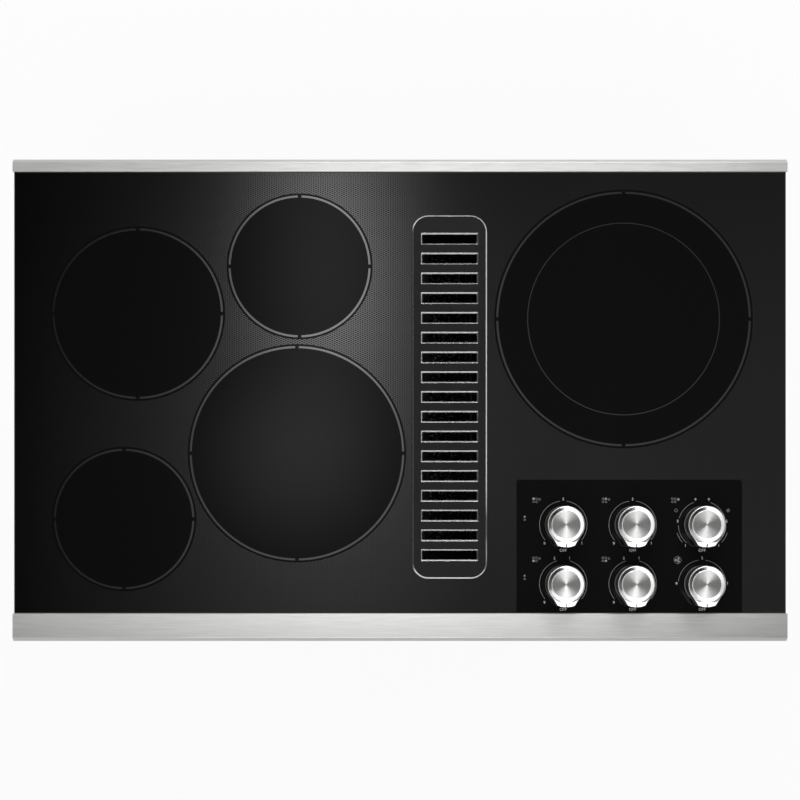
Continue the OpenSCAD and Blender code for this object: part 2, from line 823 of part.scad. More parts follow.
// A ribbon on edge that runs round and turns back at each turn: open rings, joined in turn on
// one side of the gap and on the other
module ribbon(first_r, last_r) {
    turns = floor((last_r - first_r) / ribbon_pitch);
    translate([0, 0, ribbon_z])
        linear_extrude(ribbon_h) {
            for (k = [0 : turns])
                difference() {
                    circle(first_r + k * ribbon_pitch + ribbon_t / 2, $fn = 96);
                    circle(first_r + k * ribbon_pitch - ribbon_t / 2, $fn = 96);
                    translate([0, -ribbon_turn / 2])
                        square([last_r + ribbon_pitch, ribbon_turn]);
                }
            for (k = [0 : turns - 1]) {
                side = k % 2 == 0 ? 1 : -1;
                near = first_r + k * ribbon_pitch - ribbon_t / 2;
                translate([near, (side * ribbon_turn - ribbon_t) / 2])
                    square([ribbon_pitch, ribbon_t]);
            }
        }
}

module element_ribbons() {
    color(HEATER)
        for (i = [0 : len(ZONES) - 1])
            zone(i) {
                wall_r = insulation_r(i) - insulation_w - ribbon_t;
                if (ZONES[i] == "right") {
                    ribbon(ribbon_start, right_inner_r - divider_w / 2 - ribbon_t);
                    ribbon(right_inner_r + divider_w / 2 + 2 * ribbon_t, wall_r);
                } else {
                    ribbon(ribbon_start, wall_r);
                }
            }
}

module element_limiters() {
    color(CERAMIC)
        for (i = [0 : len(ZONES) - 1])
            zone(i)
                translate([0, 0, limiter_z])
                    rotate([0, 0, limiter_turn[i]]) {
                        head_x = dish_r(i) + 0.3;
                        far_x = -dish_r(i) + 2 * insulation_w;
                        rod_x(far_x, head_x - far_x + CUT, limiter_r);
                        translate([head_x, -limiter_head_w / 2, -limiter_head_h / 2])
                            cube([limiter_head_l, limiter_head_w, limiter_head_h]);
                    }
}

// A bent strip under each dish that stands on the box floor
module element_supports() {
    color(ZINC)
        for (i = [0 : len(ZONES) - 1])
            zone(i) {
                half = 0.6 * zone_r[i];
                foot_z = box_floor_z + sheet_t;
                span([-half, -support_w / 2, dish_z - support_t], [half, support_w / 2, dish_z]);
                for (side = [0, 1])
                    mirror([side, 0, 0]) {
                        span([half - support_t, -support_w / 2, foot_z], [half, support_w / 2, dish_z]);
                        span(
                            [half - support_t, -support_w / 2, foot_z],
                            [half + support_foot, support_w / 2, foot_z + support_t]
                        );
                    }
            }
}

module each_control() {
    for (i = [0 : 5]) translate([control_at(i)[0], control_at(i)[1], 0]) children();
}

// The bent plate that the switches hang from. Its legs stand on the box floor.
module switch_bracket() {
    foot_z = box_floor_z + sheet_t;
    color(ZINC)
        difference() {
            union() {
                span([bracket_x0, bracket_y0, bracket_z], [bracket_x1, bracket_y1, bracket_z + bracket_t]);
                for (leg = [[bracket_x0, 1], [bracket_x1, -1]])
                    translate([leg[0], 0, 0])
                        mirror([leg[1] > 0 ? 0 : 1, 0, 0]) {
                            span([0, bracket_y0, foot_z], [bracket_t, bracket_y1, bracket_z + bracket_t]);
                            span(
                                [-bracket_foot, bracket_y0, foot_z],
                                [bracket_t, bracket_y1, foot_z + bracket_t]
                            );
                        }
            }
            each_control()
                translate([0, 0, bracket_z - CUT])
                    cylinder(h = bracket_t + 2 * CUT, r = bushing_r + 0.3);
        }
}

// Six energy switches: a body with a chamber for the cam, a bushing on top and four tags below
module switch_housings() {
    chamber_z = cam_z - cam_gap - push_travel - 1;
    tag = [6.3, 0.8, 8];
    color(DARK)
        each_control() {
            difference() {
                union() {
                    span(
                        [-switch_w / 2, -switch_w / 2, switch_top_z - switch_h],
                        [switch_w / 2, switch_w / 2, switch_top_z]
                    );
                    translate([0, 0, switch_top_z - CUT]) cylinder(h = bushing_l + CUT, r = bushing_r);
                }
                translate([0, 0, chamber_z])
                    cylinder(h = switch_top_z - switch_wall - chamber_z, r = cam_r + cam_gap);
                translate([0, 0, chamber_z])
                    cylinder(h = bushing_l + CUT - chamber_z + switch_top_z, r = shaft_r + shaft_run);
            }
            for (sx = [-1, 1], sy = [-1, 1])
                translate([sx * switch_w / 4, sy * switch_w / 4, switch_top_z - switch_h - tag[2] / 2])
                    cube([tag[0], tag[1], tag[2] + 0.4], center = true);
        }
}

// A grommet in each hole of the glass, with a flange on the glass under the knob
module knob_seals() {
    color(SILICONE)
        each_control()
            difference() {
                union() {
                    translate([0, 0, glass_z]) cylinder(h = glass_t, r = knob_hole_r - 0.1);
                    translate([0, 0, glass_top_z]) cylinder(h = seal_flange_t, r = seal_flange_r);
                }
                translate([0, 0, glass_z - CUT])
                    cylinder(h = glass_t + seal_flange_t + 2 * CUT, r = shaft_r + seal_gap);
            }
}

module indicator_lamps() {
    color([0.8, 0.3, 0.2])
        for (row = [0, 1])
            translate([knob_x - lamp_dx, knob_y + row * knob_dy + lamp_dy, bracket_z + bracket_t])
                cylinder(h = glass_z - bracket_z - bracket_t, r = lamp_r);
}

// The section of a shaft with its flat, wider by gap all round
module shaft_section(gap) {
    difference() {
        circle(shaft_r + gap);
        translate([shaft_r - shaft_flat + gap, -shaft_r - CUT]) square([shaft_r, 2 * shaft_r + 2 * CUT]);
    }
}

module control(i) {
    translate([control_at(i)[0], control_at(i)[1], 0]) children();
}

module switch_cam(i) {
    color(CERAMIC)
        control(i)
            translate([0, 0, cam_z])
                linear_extrude(cam_h)
                    difference() {
                        circle(cam_r);
                        shaft_section(shaft_fit);
                        translate([-cam_r - cam_notch_r / 3, 0]) circle(cam_notch_r);
                    }
}

// Round where it turns in the bushing, with a flat in the cam and in the knob
module knob_shaft(i) {
    flat_low_z = cam_z + cam_h + push_travel + cam_gap / 2;
    flat_high_z = knob_base_z + knob_hollow;
    color(STEEL)
        control(i) {
            translate([0, 0, shaft_end_z]) linear_extrude(flat_low_z - shaft_end_z) shaft_section(0);
            translate([0, 0, flat_low_z]) cylinder(h = flat_high_z - flat_low_z, r = shaft_r);
            translate([0, 0, flat_high_z]) linear_extrude(shaft_top_z - flat_high_z) shaft_section(0);
        }
}

// The pointer's outline: flanks that leave the grip and narrow to the tip
module pointer_outline() {
    flank = 0.72 * knob_grip_r;
    intersection() {
        circle(pointer_r);
        polygon([
            [-flank, -flank],
            [-pointer_w / 2, -pointer_r - CUT],
            [pointer_w / 2, -pointer_r - CUT],
            [flank, -flank],
            [0, 0],
        ]);
    }
}

// A turned metal knob: skirt, groove, grip with a sloped edge, a disc in a groove on top, and a
// pointer towards the user
module knob(i) {
    hollow_r = knob_grip_r - knob_wall;
    groove_z = knob_base_z + skirt_h;
    color(STEEL)
        control(i)
            difference() {
                union() {
                    rotate_extrude($fn = 96)
                        polygon([
                            [0, knob_base_z],
                            [knob_skirt_r, knob_base_z],
                            [knob_skirt_r, groove_z],
                            [knob_grip_r - knob_groove, groove_z],
                            [knob_grip_r - knob_groove, grip_z],
                            [knob_grip_r, grip_z],
                            [knob_grip_r, knob_top_z - knob_slope],
                            [knob_grip_r - knob_slope, knob_top_z],
                            [knob_disc_r + disc_groove_w, knob_top_z],
                            [knob_disc_r + disc_groove_w / 2, knob_top_z - disc_groove_d],
                            [knob_disc_r, knob_top_z - disc_groove_d],
                            [knob_disc_r, knob_top_z - disc_groove_w / 2],
                            [0, knob_top_z - disc_groove_w / 2],
                        ]);
                    translate([0, 0, grip_z])
                        linear_extrude(knob_top_z - pointer_drop - grip_z)
                            difference() {
                                pointer_outline();
                                circle(knob_grip_r - knob_slope - 1);
                            }
                }
                translate([0, 0, knob_base_z - CUT])
                    cylinder(h = knob_hollow + CUT, r = hollow_r);
                translate([0, 0, knob_base_z])
                    linear_extrude(shaft_top_z - knob_base_z) shaft_section(shaft_fit);
            }
}

// A plate with round corners whose top edge is bevelled, centred, from z up
module bevelled_plate(w, l, r, z, t, bevel) {
    section = [[0, 0], [r, 0], [r, t - bevel], [r - bevel, t], [0, t]];
    translate([0, 0, z]) {
        for (sx = [-1, 1], sy = [-1, 1])
            translate([sx * (w / 2 - r), sy * (l / 2 - r), 0]) rotate_extrude() polygon(section);
        rotate([90, 0, 0])
            linear_extrude(l - 2 * r, center = true)
                polygon([
                    [-w / 2, 0], [w / 2, 0], [w / 2, t - bevel],
                    [w / 2 - bevel, t], [bevel - w / 2, t], [-w / 2, t - bevel],
                ]);
        rotate([90, 0, 90])
            linear_extrude(w - 2 * r, center = true)
                polygon([
                    [-l / 2, 0], [l / 2, 0], [l / 2, t - bevel],
                    [l / 2 - bevel, t], [bevel - l / 2, t], [-l / 2, t - bevel],
                ]);
    }
}

// What one slot takes out: straight through, then flared to all four sides at the top
module slot_cut(z) {
    flare_z = z - slot_bevel;
    low_z = z - grille_rise;
    intersection() {
        rotate([90, 0, 90])
            linear_extrude(2 * slot_l, center = true)
                polygon([
                    [-slot_w / 2, low_z], [slot_w / 2, low_z], [slot_w / 2, flare_z],
                    [slot_w / 2 + 2 * slot_bevel, z + slot_bevel],
                    [-slot_w / 2 - 2 * slot_bevel, z + slot_bevel], [-slot_w / 2, flare_z],
                ]);
        rotate([90, 0, 0])
            linear_extrude(4 * slot_w, center = true)
                polygon([
                    [-slot_l / 2, low_z], [slot_l / 2, low_z], [slot_l / 2, flare_z],
                    [slot_l / 2 + 2 * slot_end_bevel, z + slot_bevel],
                    [-slot_l / 2 - 2 * slot_end_bevel, z + slot_bevel], [-slot_l / 2, flare_z],
                ]);
    }
}

module vent_grille() {
    plate_z = glass_top_z + bumper_t;
    top_z = glass_top_z + grille_rise;
    tab_y = vent_l / 2 - vent_r - tab_l;
    color(DARK)
        at_vent() {
            difference() {
                bevelled_plate(grille_w, grille_l, grille_r, plate_z, top_z - plate_z, grille_bevel);
                translate([0, 0, plate_z - CUT])
                    linear_extrude(top_z - plate_z - grille_t + CUT)
                        round_rect(
                            grille_w - 2 * grille_rim, grille_l - 2 * grille_rim, grille_r - grille_rim
                        );
                for (k = [0 : slot_count - 1])
                    translate([0, (k - (slot_count - 1) / 2) * slot_pitch, 0]) slot_cut(top_z);
            }
            for (sx = [0, 1], sy = [0, 1])
                mirror([sx, 0, 0])
                    mirror([0, sy, 0])
                        span(
                            [vent_w / 2 - tab_gap - tab_t, tab_y, glass_top_z - tab_drop],
                            [vent_w / 2 - tab_gap, tab_y + tab_l, top_z - grille_t + CUT / 2]
                        );
        }
}

// Four pads between the grille's rim and the glass
module grille_bumpers() {
    pad_x = grille_w / 2 - grille_rim / 2;
    pad_y = grille_l / 2 - grille_r - bumper_l;
    color(SILICONE)
        at_vent()
            for (sx = [-1, 1], sy = [-1, 1])
                translate([sx * pad_x, sy * pad_y, glass_top_z + bumper_t / 2])
                    cube([bumper_w, bumper_l, bumper_t], center = true);
}

// The two rows of screws that hold the chamber's flange to the box floor
module flange_screw_places() {
    at_vent()
        for (side = [-1, 1], k = [0 : flange_screws - 1])
            translate([
                side * (chamber_w / 2 + flange_mid),
                (k - (flange_screws - 1) / 2) * screw_pitch,
                0,
            ])
                children();
}

// A painted steel shaft under the opening, open at the top, with a flange under the box floor, the
// blower's inlet in its right wall and a drain in its floor
module vent_chamber() {
    color(DARK)
        difference() {
            at_vent() {
                flat_frame(
                    chamber_w, chamber_l, chamber_in_w, chamber_in_l,
                    -chamber_depth, chamber_depth + chamber_top_z
                );
                difference() {
                    translate([-chamber_w / 2, -chamber_l / 2, -chamber_depth])
                        cube([chamber_w, chamber_l, chamber_t]);
                    translate([0, 0, -chamber_depth]) cube([drain_w, drain_l, 4 * CUT], center = true);
                }
                flat_frame(
                    chamber_w + 2 * flange_w, chamber_l + 2 * flange_w, chamber_in_w, chamber_in_l,
                    box_floor_z - chamber_t, chamber_t
                );
            }
            translate([0, wheel_y, -wheel_z]) rod_x(vent_x, chamber_w, inlet_r);
            flange_screw_places()
                translate([0, 0, box_floor_z - chamber_t - CUT])
                    cylinder(h = chamber_t + 2 * CUT, r = screw_r + screw_gap);
        }
}

module flange_screw_set() {
    color(STEEL)
        flange_screw_places() {
            translate([0, 0, box_floor_z - chamber_t - screw_head_h])
                cylinder(h = screw_head_h, r = screw_head_r);
            translate([0, 0, box_floor_z - chamber_t - CUT])
                cylinder(h = chamber_t + sheet_t + 2 + CUT, r = screw_r);
        }
}

// The place of the filter: its own x runs down the slope, its z is square to it
module at_filter() {
    at_vent() translate([0, 0, -filter_z]) rotate([0, 90 - filter_tilt, 0]) children();
}

// A shelf under the filter's lower edge, a strip that its upper edge leans on, and a sloped block
// at each end that closes the way round it
module filter_ledges() {
    shelf_z = filter_low[1] - filter_gap - filter_z;
    lean_z = filter_lean_z - filter_z;
    end_gap = (chamber_in_l - filter_l) / 2 - filter_gap;
    color(DARK) {
        at_vent() {
            span(
                [filter_low[0] - ledge_lap, -filter_l / 2, shelf_z - ledge_t],
                [chamber_in_w / 2, filter_l / 2, shelf_z]
            );
            span(
                [-chamber_in_w / 2, -filter_l / 2, lean_z - lean_h],
                [-filter_half_x - filter_gap, filter_l / 2, lean_z]
            );
        }
        at_filter()
            for (side = [-1, 1])
                translate([0, side * (chamber_in_l / 2 - end_gap / 2), 0])
                    cube([filter_h, end_gap, filter_t], center = true);
    }
}

module filter_frame() {
    in_h = filter_h - 2 * filter_frame_t;
    in_l = filter_l - 2 * filter_frame_t;
    color([0.75, 0.76, 0.78])
        at_filter()
            difference() {
                cube([filter_h, filter_l, filter_t], center = true);
                cube([in_h, in_l, filter_t - 2 * filter_frame_t], center = true);
                cube([filter_h - 2 * filter_edge, filter_l - 2 * filter_edge, 2 * filter_t], center = true);
            }
}

module filter_mesh() {
    margin = 2 * (filter_frame_t + mesh_gap);
    color([0.6, 0.61, 0.63])
        at_filter()
            cube([filter_h - margin, filter_l - margin, filter_t - 2 * filter_frame_t], center = true);
}

// The blower housing's outline, drawn with x as the back and y as up, and set in by gap
module scroll(gap) {
    translate([scroll_y, scroll_z]) {
        circle(scroll_r - gap, $fn = 128);
        translate([0, gap - scroll_r]) square([outlet_l, outlet_h - 2 * gap]);
    }
}

module blower_housing() {
    color(ZINC)
        difference() {
            translate([side_x, 0, 0]) rotate([90, 0, 90]) linear_extrude(housing_w) scroll(0);
            translate([side_x + housing_t, 0, 0])
                rotate([90, 0, 90]) linear_extrude(housing_w - 2 * housing_t) scroll(housing_t);
            span(
                [side_x + housing_t, scroll_y + outlet_l - CUT, scroll_z - scroll_r + housing_t],
                [
                    side_x + housing_w - housing_t,
                    scroll_y + outlet_l + CUT,
                    scroll_z - scroll_r + outlet_h - housing_t,
                ]
            );
            at_wheel() rod_x(side_x - CUT, 4 * CUT, inlet_r);
            at_wheel() rod_x(side_x + housing_w - housing_t - CUT, 4 * CUT, motor_hole_r);
        }
}

module at_wheel() {
    translate([0, wheel_y, -wheel_z]) children();
}

module blower_wheel() {
    back_x = wheel_x + wheel_w - wheel_t;
    color(DARK)
        at_wheel()
            difference() {
                union() {
                    rod_x(back_x, wheel_t, wheel_r);
                    rod_x(back_x + wheel_t - hub_l, hub_l, hub_r);
                    difference() {
                        rod_x(wheel_x, wheel_t, wheel_r);
                        rod_x(wheel_x - CUT, wheel_t + 2 * CUT, wheel_r - blade_d);
                    }
                    for (k = [0 : blade_count - 1])
                        rotate([k * 360 / blade_count, 0, 0])
                            translate([wheel_x + wheel_t / 2, 0, wheel_r - blade_d / 2])
                                rotate([blade_lean, 0, 0])
                                    translate([0, -blade_t / 2, 1 - blade_d / 2])
                                        cube([wheel_w - wheel_t, blade_t, blade_d - 2]);
                }
                rod_x(wheel_x - CUT, wheel_w + 2 * CUT, motor_shaft_r + shaft_fit);
            }
}

module motor_shaft() {
    start_x = wheel_x + wheel_w - hub_l - 3;
    color(STEEL)
        at_wheel() rod_x(start_x, motor_x + motor_l - 0.5 - start_x, motor_shaft_r);
}

module motor_rotor() {
    color([0.5, 0.42, 0.36])
        at_wheel()
            difference() {
                rod_x(motor_x + (motor_l - rotor_l) / 2, rotor_l, rotor_r);
                rod_x(motor_x, motor_l, motor_shaft_r + shaft_fit);
            }
}

// The motor's can, with a bearing boss at each end and its windings in a ring round the rotor
module blower_motor() {
    winding_in = rotor_r + rotor_gap;
    winding_l = rotor_l + 2 * winding_over;
    color(DARK)
        at_wheel()
            difference() {
                union() {
                    difference() {
                        rod_x(motor_x, motor_l, motor_r);
                        rod_x(motor_x + motor_wall, motor_l - 2 * motor_wall, motor_r - motor_wall);
                    }
                    difference() {
                        rod_x(motor_x + (motor_l - winding_l) / 2, winding_l, motor_r - motor_wall / 2);
                        rod_x(motor_x, motor_l, winding_in);
                    }
                    rod_x(motor_x, bearing_l, bearing_r);
                    rod_x(motor_x + motor_l - bearing_l, bearing_l, bearing_r);
                }
                rod_x(motor_x - CUT, motor_l + 2 * CUT, motor_shaft_r + shaft_run);
            }
}

module motor_plate() {
    color(ZINC)
        at_wheel()
            difference() {
                rod_x(side_x + housing_w, motor_plate_t, motor_r + motor_plate_rim);
                rod_x(side_x + housing_w - CUT, motor_plate_t + 2 * CUT, motor_shaft_r + plate_gap);
            }
}

// A square box on the blower's outlet that carries the round duct collar
module exhaust_collar() {
    half = collar_r + collar_margin;
    color(ZINC)
        difference() {
            union() {
                span(
                    [collar_x - half, collar_y, collar_z - half],
                    [collar_x + half, collar_y + collar_box_d, collar_z + half]
                );
                translate([collar_x, collar_y + collar_box_d - CUT, collar_z])
                    rotate([-90, 0, 0]) cylinder(h = collar_l + CUT, r = collar_r, $fn = 96);
            }
            span(
                [collar_x - half + collar_t, collar_y + collar_t, collar_z - half + collar_t],
                [
                    collar_x + half - collar_t,
                    collar_y + collar_box_d - collar_t,
                    collar_z + half - collar_t,
                ]
            );
            translate([collar_x, collar_y + collar_box_d - 3 * CUT, collar_z])
                rotate([-90, 0, 0])
                    cylinder(h = collar_l + 4 * CUT, r = collar_r - collar_t, $fn = 96);
            span(
                [side_x + housing_t, collar_y - CUT, scroll_z - scroll_r + housing_t],
                [
                    side_x + housing_w - housing_t,
                    collar_y + collar_t + CUT,
                    scroll_z - scroll_r + outlet_h - housing_t,
                ]
            );
        }
}

// A C-shaped rail on each side under the chamber's floor
module tray_runners() {
    top = -chamber_depth;
    lip = tray_flange + runner_gap;
    color(ZINC)
        translate([vent_x, tray_y0, 0])
            for (side = [0, 1])
                mirror([side, 0, 0]) {
                    span([runner_in, 0, top - runner_h], [runner_in + runner_t, tray_l, top]);
                    span(
                        [runner_in - lip, 0, top - runner_h],
                        [runner_in + runner_t, tray_l, top - runner_h + runner_t]
                    );
                    span([runner_in - lip, 0, top - runner_t], [runner_in + runner_t, tray_l, top]);
                }
}

// A drawer that hangs on its flanges, with a front and a finger lip towards the user
module overflow_tray() {
    low_z = tray_top_z - tray_h;
    color(DARK)
        translate([vent_x, tray_y0, 0])
            difference() {
                union() {
                    span([-tray_half, 0, low_z], [tray_half, tray_l, tray_top_z]);
                    span(
                        [-tray_half - tray_flange, 0, tray_top_z - tray_flange_t],
                        [tray_half + tray_flange, tray_l, tray_top_z]
                    );
                    span(
                        [-runner_in - runner_t, -tray_front_t - runner_gap, low_z],
                        [runner_in + runner_t, -runner_gap, -chamber_depth - runner_gap]
                    );
                    span([-tray_half, -runner_gap - CUT, low_z], [tray_half, CUT, tray_top_z]);
                    span(
                        [-tray_half, -tray_front_t - tray_lip, low_z],
                        [tray_half, -tray_front_t, low_z + tray_front_t]
                    );
                }
                span(
                    [-tray_half + tray_t, tray_t, low_z + tray_t],
                    [tray_half - tray_t, tray_l - tray_t, tray_top_z + CUT]
                );
            }
}

module at_wiring() {
    translate([wiring_x, wiring_y, box_floor_z]) children();
}

module wiring_box() {
    color(ZINC)
        at_wiring()
            difference() {
                span([-wiring_w / 2, -wiring_l / 2, -wiring_h], [wiring_w / 2, wiring_l / 2, 0]);
                span(
                    [wiring_t - wiring_w / 2, wiring_t - wiring_l / 2, wiring_t - wiring_h],
                    [wiring_w / 2 - wiring_t, wiring_l / 2 - wiring_t, CUT]
                );
                at_knockout() translate([0, 0, -CUT]) cylinder(h = wiring_t + 2 * CUT, r = knockout_r);
            }
}

// The hole in the wiring box's front wall: its own z runs into the box
module at_knockout() {
    translate([0, -wiring_l / 2, -wiring_h / 2]) rotate([-90, 0, 0]) children();
}

module conduit_connector() {
    thread_r = knockout_r - 0.2;
    color(ZINC)
        at_wiring()
            at_knockout()
                difference() {
                    union() {
                        translate([0, 0, -conduit_l])
                            cylinder(h = conduit_l + wiring_t + 2 * conduit_nut_t, r = thread_r);
                        translate([0, 0, -conduit_nut_t]) cylinder(h = conduit_nut_t, r = conduit_nut_r);
                        translate([0, 0, wiring_t]) cylinder(h = conduit_nut_t, r = conduit_nut_r, $fn = 6);
                    }
                    translate([0, 0, -conduit_l - CUT])
                        cylinder(h = conduit_l + wiring_t + 2 * conduit_nut_t + 2 * CUT, r = conduit_r);
                }
}

// A block with three terminals on the wiring box's floor
module terminal_block() {
    low_z = wiring_t - wiring_h;
    color(CERAMIC)
        at_wiring()
            translate([-terminal_w / 2, wiring_l / 2 - wiring_t - terminal_d, low_z])
                difference() {
                    cube([terminal_w, terminal_d, terminal_h]);
                    for (k = [0 : 2])
                        translate([(k + 0.5) * terminal_w / 3, terminal_d / 2, terminal_h / 2])
                            cylinder(h = terminal_h, r = terminal_w / 10);
                }
}

module each_clamp() {
    for (sx = [0, 1], sy = [-1, 1])
        mirror([sx, 0, 0]) translate([0, sy * clamp_y, 0]) children();
}

// Angles on the box's sides whose screws press up against the worktop's underside
module clamp_brackets() {
    color(ZINC)
        each_clamp()
            difference() {
                union() {
                    span(
                        [box_w / 2, -clamp_w / 2, clamp_z],
                        [box_w / 2 + clamp_t, clamp_w / 2, clamp_z + clamp_h]
                    );
                    span(
                        [box_w / 2, -clamp_w / 2, clamp_z],
                        [box_w / 2 + clamp_reach, clamp_w / 2, clamp_z + clamp_t]
                    );
                }
                translate([clamp_screw_x, 0, clamp_z - CUT])
                    cylinder(h = clamp_t + 2 * CUT, r = clamp_screw_r + 0.1);
            }
}

module clamp_screws() {
    color(STEEL)
        each_clamp()
            translate([clamp_screw_x, 0, 0]) {
                translate([0, 0, clamp_z - clamp_tail])
                    cylinder(h = -worktop_t - clamp_z + clamp_tail, r = clamp_screw_r);
                translate([0, 0, clamp_z - clamp_tail - clamp_screw_r])
                    cylinder(h = clamp_screw_r, r = 2 * clamp_screw_r);
                translate([0, 0, -worktop_t - clamp_t]) cylinder(h = clamp_t, r = 2 * clamp_screw_r);
            }
}

glass_top();
front_trim();
rear_trim();
trim_beads();
glass_seals();
rim_gasket();
burner_box();
burner_box_floor();
for (i = [0 : len(ZONES) - 1])
    element_dish(i);
element_insulation();
element_ribbons();
element_limiters();
element_supports();
switch_bracket();
switch_housings();
knob_seals();
indicator_lamps();
for (i = [0 : 5]) {
    switch_cam(i);
    knob_shaft(i);
    knob(i);
}
vent_grille();
grille_bumpers();
vent_chamber();
flange_screw_set();
filter_ledges();
filter_frame();
filter_mesh();
blower_housing();
blower_wheel();
motor_shaft();
motor_rotor();
blower_motor();
motor_plate();
exhaust_collar();
tray_runners();
overflow_tray();
wiring_box();
terminal_block();
conduit_connector();
clamp_brackets();
clamp_screws();
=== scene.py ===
# %% [markdown]
# # A downdraft cooktop, dressed for its picture
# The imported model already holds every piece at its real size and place: glass, trims, burner box,
# vent, blower, switches. This lesson gives those pieces their finishes, and models again the few
# that need finer forms than a plain solid has: the trims, the vent grille, the filter's mesh, the
# turned knobs, and the print on the glass. Everything is in metres, and z = 0 is the worktop.

import json
import math

import bmesh
import bpy
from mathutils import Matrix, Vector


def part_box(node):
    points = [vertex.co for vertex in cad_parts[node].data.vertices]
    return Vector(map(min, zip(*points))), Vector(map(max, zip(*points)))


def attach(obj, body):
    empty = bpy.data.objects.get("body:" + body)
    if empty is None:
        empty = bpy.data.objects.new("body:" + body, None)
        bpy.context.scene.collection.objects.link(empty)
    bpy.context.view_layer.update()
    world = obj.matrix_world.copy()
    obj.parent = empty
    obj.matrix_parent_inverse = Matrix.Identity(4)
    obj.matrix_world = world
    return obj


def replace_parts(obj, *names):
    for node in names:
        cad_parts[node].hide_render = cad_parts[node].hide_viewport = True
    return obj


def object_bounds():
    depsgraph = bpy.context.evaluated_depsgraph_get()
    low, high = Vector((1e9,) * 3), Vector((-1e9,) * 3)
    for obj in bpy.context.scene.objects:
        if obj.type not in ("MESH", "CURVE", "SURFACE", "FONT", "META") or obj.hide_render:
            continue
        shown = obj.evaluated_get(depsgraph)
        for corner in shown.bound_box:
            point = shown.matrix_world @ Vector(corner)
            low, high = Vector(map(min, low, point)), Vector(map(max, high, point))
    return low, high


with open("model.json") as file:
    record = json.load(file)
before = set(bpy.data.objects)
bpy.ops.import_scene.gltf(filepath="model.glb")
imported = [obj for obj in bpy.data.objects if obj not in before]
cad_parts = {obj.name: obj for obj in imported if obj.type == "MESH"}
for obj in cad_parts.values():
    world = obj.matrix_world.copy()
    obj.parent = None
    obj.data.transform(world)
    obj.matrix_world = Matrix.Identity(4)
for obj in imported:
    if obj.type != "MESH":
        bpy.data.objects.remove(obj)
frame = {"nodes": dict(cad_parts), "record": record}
nodes = frame["nodes"]
cad_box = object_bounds()
glass_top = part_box("glass_top")[1].z
MM = 0.001
print(len(nodes), "nodes, glass top at", round(glass_top / MM, 2), "mm")

# %% [markdown]
# ## The camera
# The photograph looks straight down from about 1.85 m above the glass. The lens sits a little to
# the left of the cooktop's middle and in front of it, which shows in how far each knob's top
# leans off its base. A small shift of the film centres the cooktop, as a technical camera does,
# and keeps its edges parallel. A camera tilted at the middle would make them converge.

# %% Camera
camera_height = 1.85
frame_width = 0.952
film_width = 36
camera_at = (-0.060, -0.150)
bpy.ops.object.camera_add(
    location=(camera_at[0], camera_at[1], glass_top + camera_height), rotation=(0, 0, 0)
)
camera = bpy.context.object
camera.data.sensor_width = film_width
camera.data.lens = film_width * camera_height / frame_width
camera.data.shift_x = -camera_at[0] / frame_width
camera.data.shift_y = -camera_at[1] / frame_width
bpy.context.scene.camera = camera
print("lens", round(camera.data.lens, 1), "mm")

# %% [markdown]
# ## Helpers for modelling
# Operators act on all that is selected, so each step first lets go of everything and then picks
# one object. Faces are picked by a test on their middle and their normal. A finished piece has its
# place in its mesh, and its object stands at the origin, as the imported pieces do.


# %% Pick, edit and settle
def rest():
    """Leave edit mode and let go of everything."""
    if bpy.context.mode != "OBJECT":
        bpy.ops.object.mode_set(mode="OBJECT")
    bpy.ops.object.select_all(action="DESELECT")


def edit(piece):
    """Pick one piece and open its mesh."""
    rest()
    piece.select_set(True)
    bpy.context.view_layer.objects.active = piece
    bpy.ops.object.mode_set(mode="EDIT")
    bpy.ops.mesh.select_mode(type="VERT")


def pick_faces(piece, test):
    """In edit mode, select the faces whose middle and normal pass the test."""
    bpy.ops.mesh.select_mode(type="FACE")
    mesh = bmesh.from_edit_mesh(piece.data)
    for part in (*mesh.verts, *mesh.edges, *mesh.faces):
        part.select = False
    for face in mesh.faces:
        face.select_set(bool(test(face.calc_center_median(), face.normal)))
    bmesh.update_edit_mesh(piece.data)


def apply_all(piece):
    """Apply the modifiers from the top, then the place, and stand the object at the origin."""
    rest()
    piece.select_set(True)
    bpy.context.view_layer.objects.active = piece
    for modifier in list(piece.modifiers):
        bpy.ops.object.modifier_apply(modifier=modifier.name)
    bpy.ops.object.transform_apply(location=True, rotation=True, scale=True)
    return piece


def named(piece, name):
    """Name an object and its mesh alike."""
    piece.name = piece.data.name = name
    return piece


def joined(pieces, name):
    """Make one object of several."""
    rest()
    for piece in pieces:
        piece.select_set(True)
    bpy.context.view_layer.objects.active = pieces[0]
    if len(pieces) > 1:
        bpy.ops.object.join()
    return named(bpy.context.object, name)


def copied(piece, name, shift):
    """A copy with a mesh of its own, moved by shift."""
    rest()
    piece.select_set(True)
    bpy.context.view_layer.objects.active = piece
    bpy.ops.object.duplicate()
    twin = bpy.context.object
    bpy.ops.transform.translate(value=shift)
    bpy.ops.object.transform_apply(location=True, rotation=True, scale=True)
    return named(twin, name)


def smooth(piece, angle):
    """Shade smooth across edges that turn less than angle degrees."""
    rest()
    piece.select_set(True)
    bpy.context.view_layer.objects.active = piece
    bpy.ops.object.shade_smooth_by_angle(angle=math.radians(angle))
    return piece


def flatten(piece):
    """Let large flat faces keep their own normal, so that only the rounded edges shade round."""
    tool = piece.modifiers.new("flat", "WEIGHTED_NORMAL")
    tool.keep_sharp = True
    tool.weight = 100
    return apply_all(piece)


def bevel(piece, width, segments, angle):
    """Round the edges where faces meet at more than angle degrees."""
    tool = piece.modifiers.new("edge", "BEVEL")
    tool.width = width
    tool.segments = segments
    tool.limit_method = "ANGLE"
    tool.angle_limit = math.radians(angle)
    return apply_all(piece)


